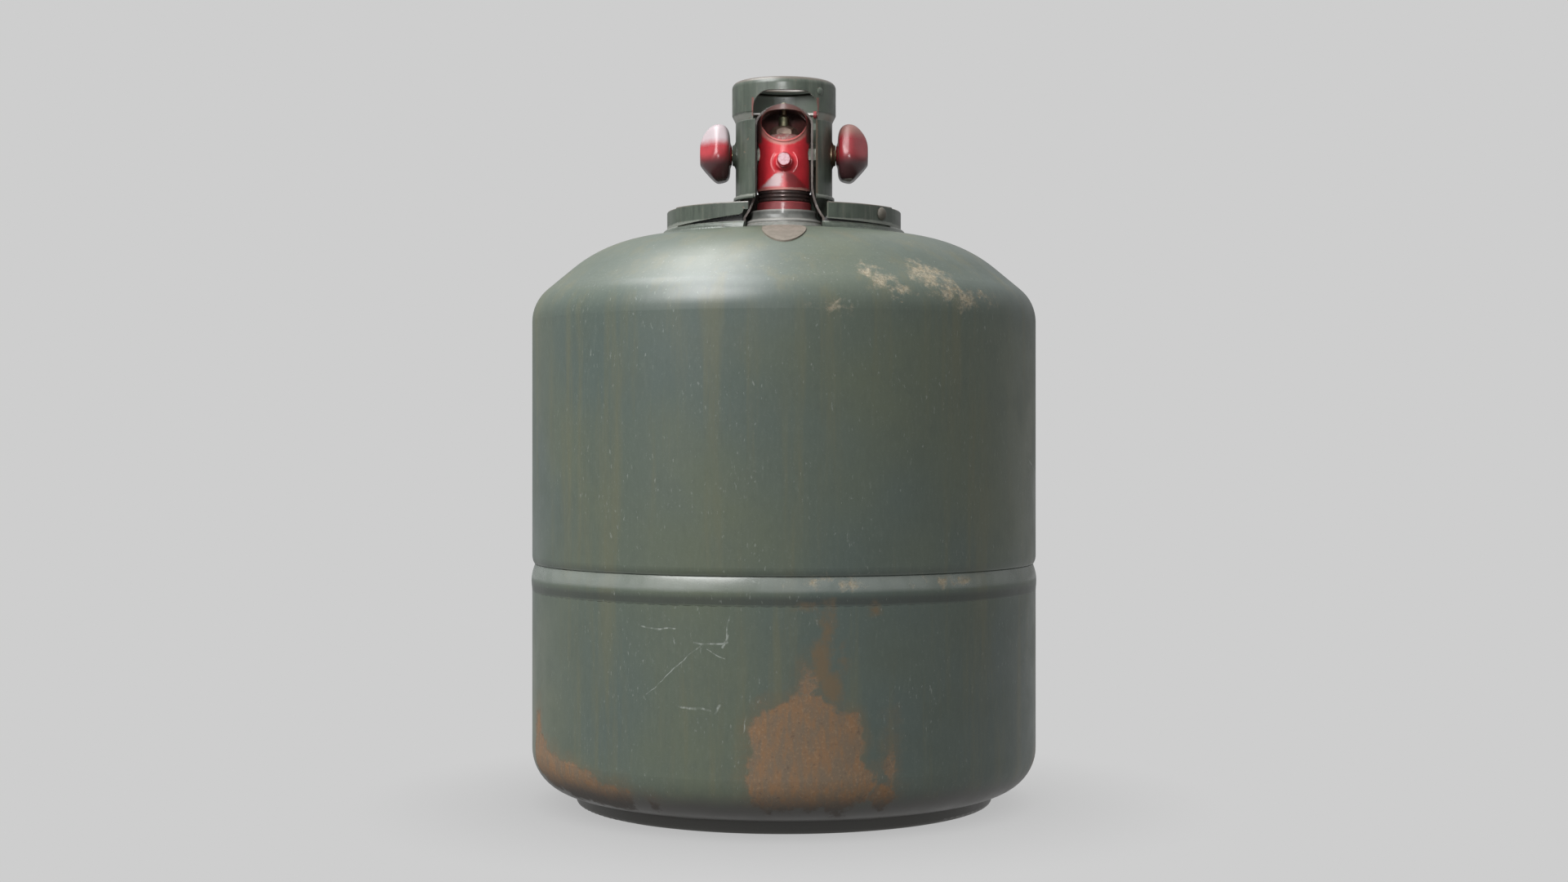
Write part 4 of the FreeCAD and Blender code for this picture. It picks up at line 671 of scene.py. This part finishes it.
def boss_fillet(side, sign, material):
    """The weld that flares from the guard's side on to the spindle's boss."""
    boss, flare, far = 6.35, 5.2, 31.4  # the boss's radius, the weld's width, and how far out it runs

    def point(turn, rise):
        angle = turn * math.tau
        ripple = 0.16 * math.sin(angle * 17 + 1.3 * math.sin(angle * 3)) * (1 - rise) * rise * 4
        radius = boss + flare * (1 - rise) ** 2 + ripple
        side_y = radius * math.cos(angle)
        wall = math.sqrt(GUARD ** 2 - side_y ** 2) - 0.25
        out = wall + (far - wall) * rise ** 1.7
        return sign * out, side_y, SPINDLE_Z + radius * math.sin(angle)

    surface("boss_fillet_" + side, point, 96, 12, material)


def bead(name, radius, half_width, lift, start, end, material, ripples):
    """A rippled run laid on the dome's crown round the axis, between two angles from the front."""
    span = math.radians(end - start)
    sunk = 0.15  # how far its edges lie under the crown
    whole = end - start == 360

    def point(turn, rise):
        angle = math.radians(start) + turn * span
        across = rise * 2 - 1
        wave = 0.5 + 0.5 * math.sin(turn * ripples * math.tau + 1.1 * across ** 2)
        swell = 1 + 0.08 * math.sin(angle * 5.0 + 1.0) + 0.05 * math.sin(angle * 13.0)
        faded = 1.0 if whole else min(1.0, 0.02 + 40 * min(turn, 1 - turn))  # low at open ends
        up = lift * swell * (1 - across ** 2) * (0.82 + 0.18 * wave) * faded
        away = radius + across * half_width * swell
        return away * math.sin(angle), -away * math.cos(angle), crown(away) - sunk + up

    surface(name, point, ripples * 6, 8, material, closed=False)


def scoop_rim(material):
    """The hood's front edge, rolled over round the lower half of the scoop."""
    scoop, half_angle = 14.6, 72  # radius of the arc, and how far it runs to each side

    def point(turn, rise):
        angle = math.radians(half_angle * (turn * 2 - 1))
        tube = rise * math.tau
        taper = math.sin(math.pi * turn) ** 0.3 if 0 < turn < 1 else 0.0
        reach = scoop + 0.75 * math.cos(tube) * taper
        across = reach * math.sin(angle)
        front = math.sqrt(max(HOOD ** 2 - across ** 2, 0.0)) + 0.1 + 0.55 * math.sin(tube) * taper
        return across, -front, SCOOP_Z - reach * math.cos(angle)

    surface("scoop_rim", point, 64, 12, material, closed=False)


def outlet_thread(material):
    """The thread in the outlet's bore, from near its bottom to near its mouth."""
    pitch, turns, bottom = 1.8, 9, 25.0
    bore, ridge = 10.25, 0.55

    def point(turn, rise):
        angle = turn * turns * math.tau
        radius = bore - ridge * (1 - abs(rise * 2 - 1))
        along = bottom + pitch * turns * turn + (rise - 0.5) * pitch * 0.72
        return radius * math.cos(angle), along, SPINDLE_Z + radius * math.sin(angle)

    surface("outlet_thread", point, 48 * turns, 4, material, closed=False)


SEAM_SECTION = [  # height, radius
    (129.6, 154.4), (129.6, 154.95), (130.4, 155.02), (132.0, 155.12), (133.8, 155.26), (135.4, 155.36),
    (136.9, 155.38), (138.4, 155.28), (140.2, 155.02), (142.2, 154.55), (144.2, 153.96), (145.6, 153.46),
    (146.4, 153.10), (146.5, 152.60), (129.6, 154.4),
]


def seam_roll(material):
    """The girth weld's rolled face, a little uneven as it goes round."""
    rows = len(SEAM_SECTION) - 1
    uneven_above = 155.2  # only the crest waves

    def point(turn, rise):
        height, radius = SEAM_SECTION[round(rise * rows)]
        angle = turn * math.tau
        wave = 0.05 * math.sin(angle * 23 + 2 * math.sin(angle * 5)) + 0.04 * math.sin(angle * 61 + height)
        radius += wave if radius > uneven_above else 0.0
        return radius * math.sin(angle), -radius * math.cos(angle), height

    surface("seam_roll", point, 360, rows, material)


def spring(name, radius, start, end, material):
    """A coil of four turns with its end coils drawn close."""
    turns, wire = 4, 0.35  # the wire's radius
    axis = (Vector(end) - Vector(start)).normalized()
    length = (Vector(end) - Vector(start)).length
    side = axis.cross(Vector((1.0, 0.0, 0.0))).normalized()
    other = axis.cross(side)

    def point(turn, rise):
        angle, tube = turn * turns * math.tau, rise * math.tau
        out = side * math.cos(angle) + other * math.sin(angle)
        along = wire + (length - 2 * wire) * (turn - 0.45 * math.sin(turn * math.tau) / math.tau)
        return Vector(start) + out * (radius + wire * math.cos(tube)) + axis * (along + wire * math.sin(tube))

    piece = surface(name + "_coil", point, 36 * turns, 12, material, closed=False)
    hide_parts(name)
    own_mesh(piece)


def foot_stitches(material):
    """Short weld runs that hold the foot ring under the shell."""
    foot, shell_low = 127.9, 8.3  # radius of the foot ring, height where the shell meets it
    half_span, ripples = 7, 22  # half of a run in degrees, ripples in a run
    for number, heading in enumerate(range(20, 360, 45)):
        def point(turn, rise, heading=heading):
            angle = math.radians(heading + half_span * (turn * 2 - 1))
            taper = math.sin(math.pi * min(max(turn, 0.02), 0.98)) ** 0.4
            ripple = 0.15 * math.sin(turn * ripples * math.tau)
            swing = rise * math.pi / 2
            reach = foot + (1.9 * math.cos(swing) + ripple * math.sin(2 * swing)) * taper
            drop = shell_low - (1.6 * math.sin(swing)) * taper
            return reach * math.sin(angle), -reach * math.cos(angle), drop
        surface(f"foot_stitch_{number}", point, 132, 6, material, closed=False)


def add_pieces(finishes):
    """Everything that has a finer form than its CAD node, or none in the CAD."""
    for side, sign in (("left", -1), ("right", 1)):
        wheel(side, sign, finishes["handwheel_" + side])
        boss_fillet(side, sign, finishes["guard_boss_" + side])
    bead("neck_bead", 24.9, 1.7, 1.5, 0, 360, finishes["neck_weld"], 64)
    bead("ring_bead", 75.9, 1.7, 1.3, 22, 338, finishes["ring_weld"], 180)
    bead("ring_seal_left", 70.8, 1.2, 8.6, -82, -19, finishes["relief_seal"], 30)
    bead("ring_seal_right", 70.8, 1.2, 7.6, 19, 78, finishes["relief_seal"], 30)
    seam_roll(finishes["girth_weld"])
    spring("relief_spring", 4.175, (0.0, 0.0, 413.5), (0.0, 0.0, 405.1),
           finishes["relief_spring"])
    spring("bleed_spring", 2.6, (0.0, -5.9, BUTTON_Z), (0.0, -12.5, BUTTON_Z),
           finishes["bleed_spring"])
    scoop_rim(finishes["valve_hood"])
    outlet_thread(finishes["outlet_port"])
    foot_stitches(finishes["foot_ring"])


# ---------------------------------------------------------------- studio

def stage_material(name):
    """A material with no nodes yet."""
    made = bpy.data.materials.new(name)
    made.use_nodes = True
    made.node_tree.nodes.clear()
    return made


def floor():
    """Plain pale floor that meets the pale background, darker only where the tank shades it."""
    mesh = bpy.data.meshes.new("floor")
    form = bmesh.new()
    bmesh.ops.create_grid(form, x_segments=1, y_segments=1, size=30.0)
    bmesh.ops.translate(form, verts=form.verts, vec=(0, 0, -0.0002))
    form.to_mesh(mesh)
    form.free()
    plane = bpy.data.objects.new("floor", mesh)
    bpy.context.scene.collection.objects.link(plane)
    made = stage_material("floor_pale")
    tree = made.node_tree
    shade = tree.nodes.new("ShaderNodeAmbientOcclusion")
    shade.inputs["Distance"].default_value = 0.12
    shade.samples = 8
    tone = tree.nodes.new("ShaderNodeMapRange")
    tone.inputs["To Min"].default_value = PALE * 0.72
    tone.inputs["To Max"].default_value = PALE
    seen = tree.nodes.new("ShaderNodeLightPath")
    pick = tree.nodes.new("ShaderNodeMix")
    glow = tree.nodes.new("ShaderNodeEmission")
    out = tree.nodes.new("ShaderNodeOutputMaterial")
    pick.inputs[2].default_value = BOUNCE
    tree.links.new(shade.outputs["AO"], tone.inputs["Value"])
    tree.links.new(seen.outputs["Is Camera Ray"], pick.inputs[0])
    tree.links.new(tone.outputs[0], pick.inputs[3])
    tree.links.new(pick.outputs[0], glow.inputs["Strength"])
    tree.links.new(glow.outputs[0], out.inputs["Surface"])
    mesh.materials.append(made)


def backdrop():
    """Pale to the camera, dimmer as a light, and brighter above than below."""
    world = bpy.data.worlds.new("studio")
    bpy.context.scene.world = world
    world.use_nodes = True
    tree = world.node_tree
    shown = tree.nodes["Background"]
    shown.inputs["Color"].default_value = (1.0, 1.0, 1.0, 1.0)
    where = tree.nodes.new("ShaderNodeTexCoord")
    axes = tree.nodes.new("ShaderNodeSeparateXYZ")
    ramp = tree.nodes.new("ShaderNodeMapRange")
    limits = {"From Min": -0.2, "From Max": 1.0, "To Min": AMBIENT_LOW, "To Max": AMBIENT_HIGH}
    for socket, value in limits.items():
        ramp.inputs[socket].default_value = value
    seen = tree.nodes.new("ShaderNodeLightPath")
    pick = tree.nodes.new("ShaderNodeMix")
    pick.inputs[3].default_value = PALE
    tree.links.new(where.outputs["Generated"], axes.inputs[0])
    tree.links.new(axes.outputs["Z"], ramp.inputs["Value"])
    tree.links.new(seen.outputs["Is Camera Ray"], pick.inputs[0])
    tree.links.new(ramp.outputs[0], pick.inputs[2])
    tree.links.new(pick.outputs[0], shown.inputs["Strength"])


def lamp(name, at, towards, size, power, spread=180.0):
    """A rectangular lamp; at, towards and size in metres, power in watts, spread in degrees."""
    data = bpy.data.lights.new(name, "AREA")
    data.shape = "RECTANGLE"
    data.size, data.size_y = size
    data.energy = power
    data.spread = math.radians(spread)
    light = bpy.data.objects.new(name, data)
    light.location = at
    light.rotation_euler = (Vector(towards) - Vector(at)).to_track_quat("-Z", "Y").to_euler()
    bpy.context.scene.collection.objects.link(light)


def camera():
    """Level, in front, at half the tank's height."""
    data = bpy.data.cameras.new("camera")
    data.lens = 50.0
    data.sensor_width = 36.0
    eye = bpy.data.objects.new("camera", data)
    eye.location = (0.0, -1.350, 0.221)
    eye.rotation_euler = (math.radians(90), 0, 0)
    bpy.context.scene.collection.objects.link(eye)
    bpy.context.scene.camera = eye


bpy.context.scene.view_settings.view_transform = "Standard"
camera()
floor()
backdrop()
lamp("top", (-0.66, -0.05, 1.9), (-0.66, -0.25, 0.30), (0.9, 1.5), 30.0)
lamp("shoulder", (-1.04, -1.2, 1.67), (-0.045, -0.14, 0.305), (1.3, 1.1), 44.0)
lamp("key", (-2.0, -1.75, 1.2), (0.0, 0.0, 0.25), (1.6, 1.3), 8.0)
lamp("rim", (1.7, 0.9, 0.7), (0.0, 0.0, 0.25), (0.6, 1.4), 0.2)
lamp("valve", (-0.10, -1.2, 0.56), (0.0, -0.02, 0.425), (0.6, 0.16), 0.12, 13.0)
add_pieces(paint_nodes())
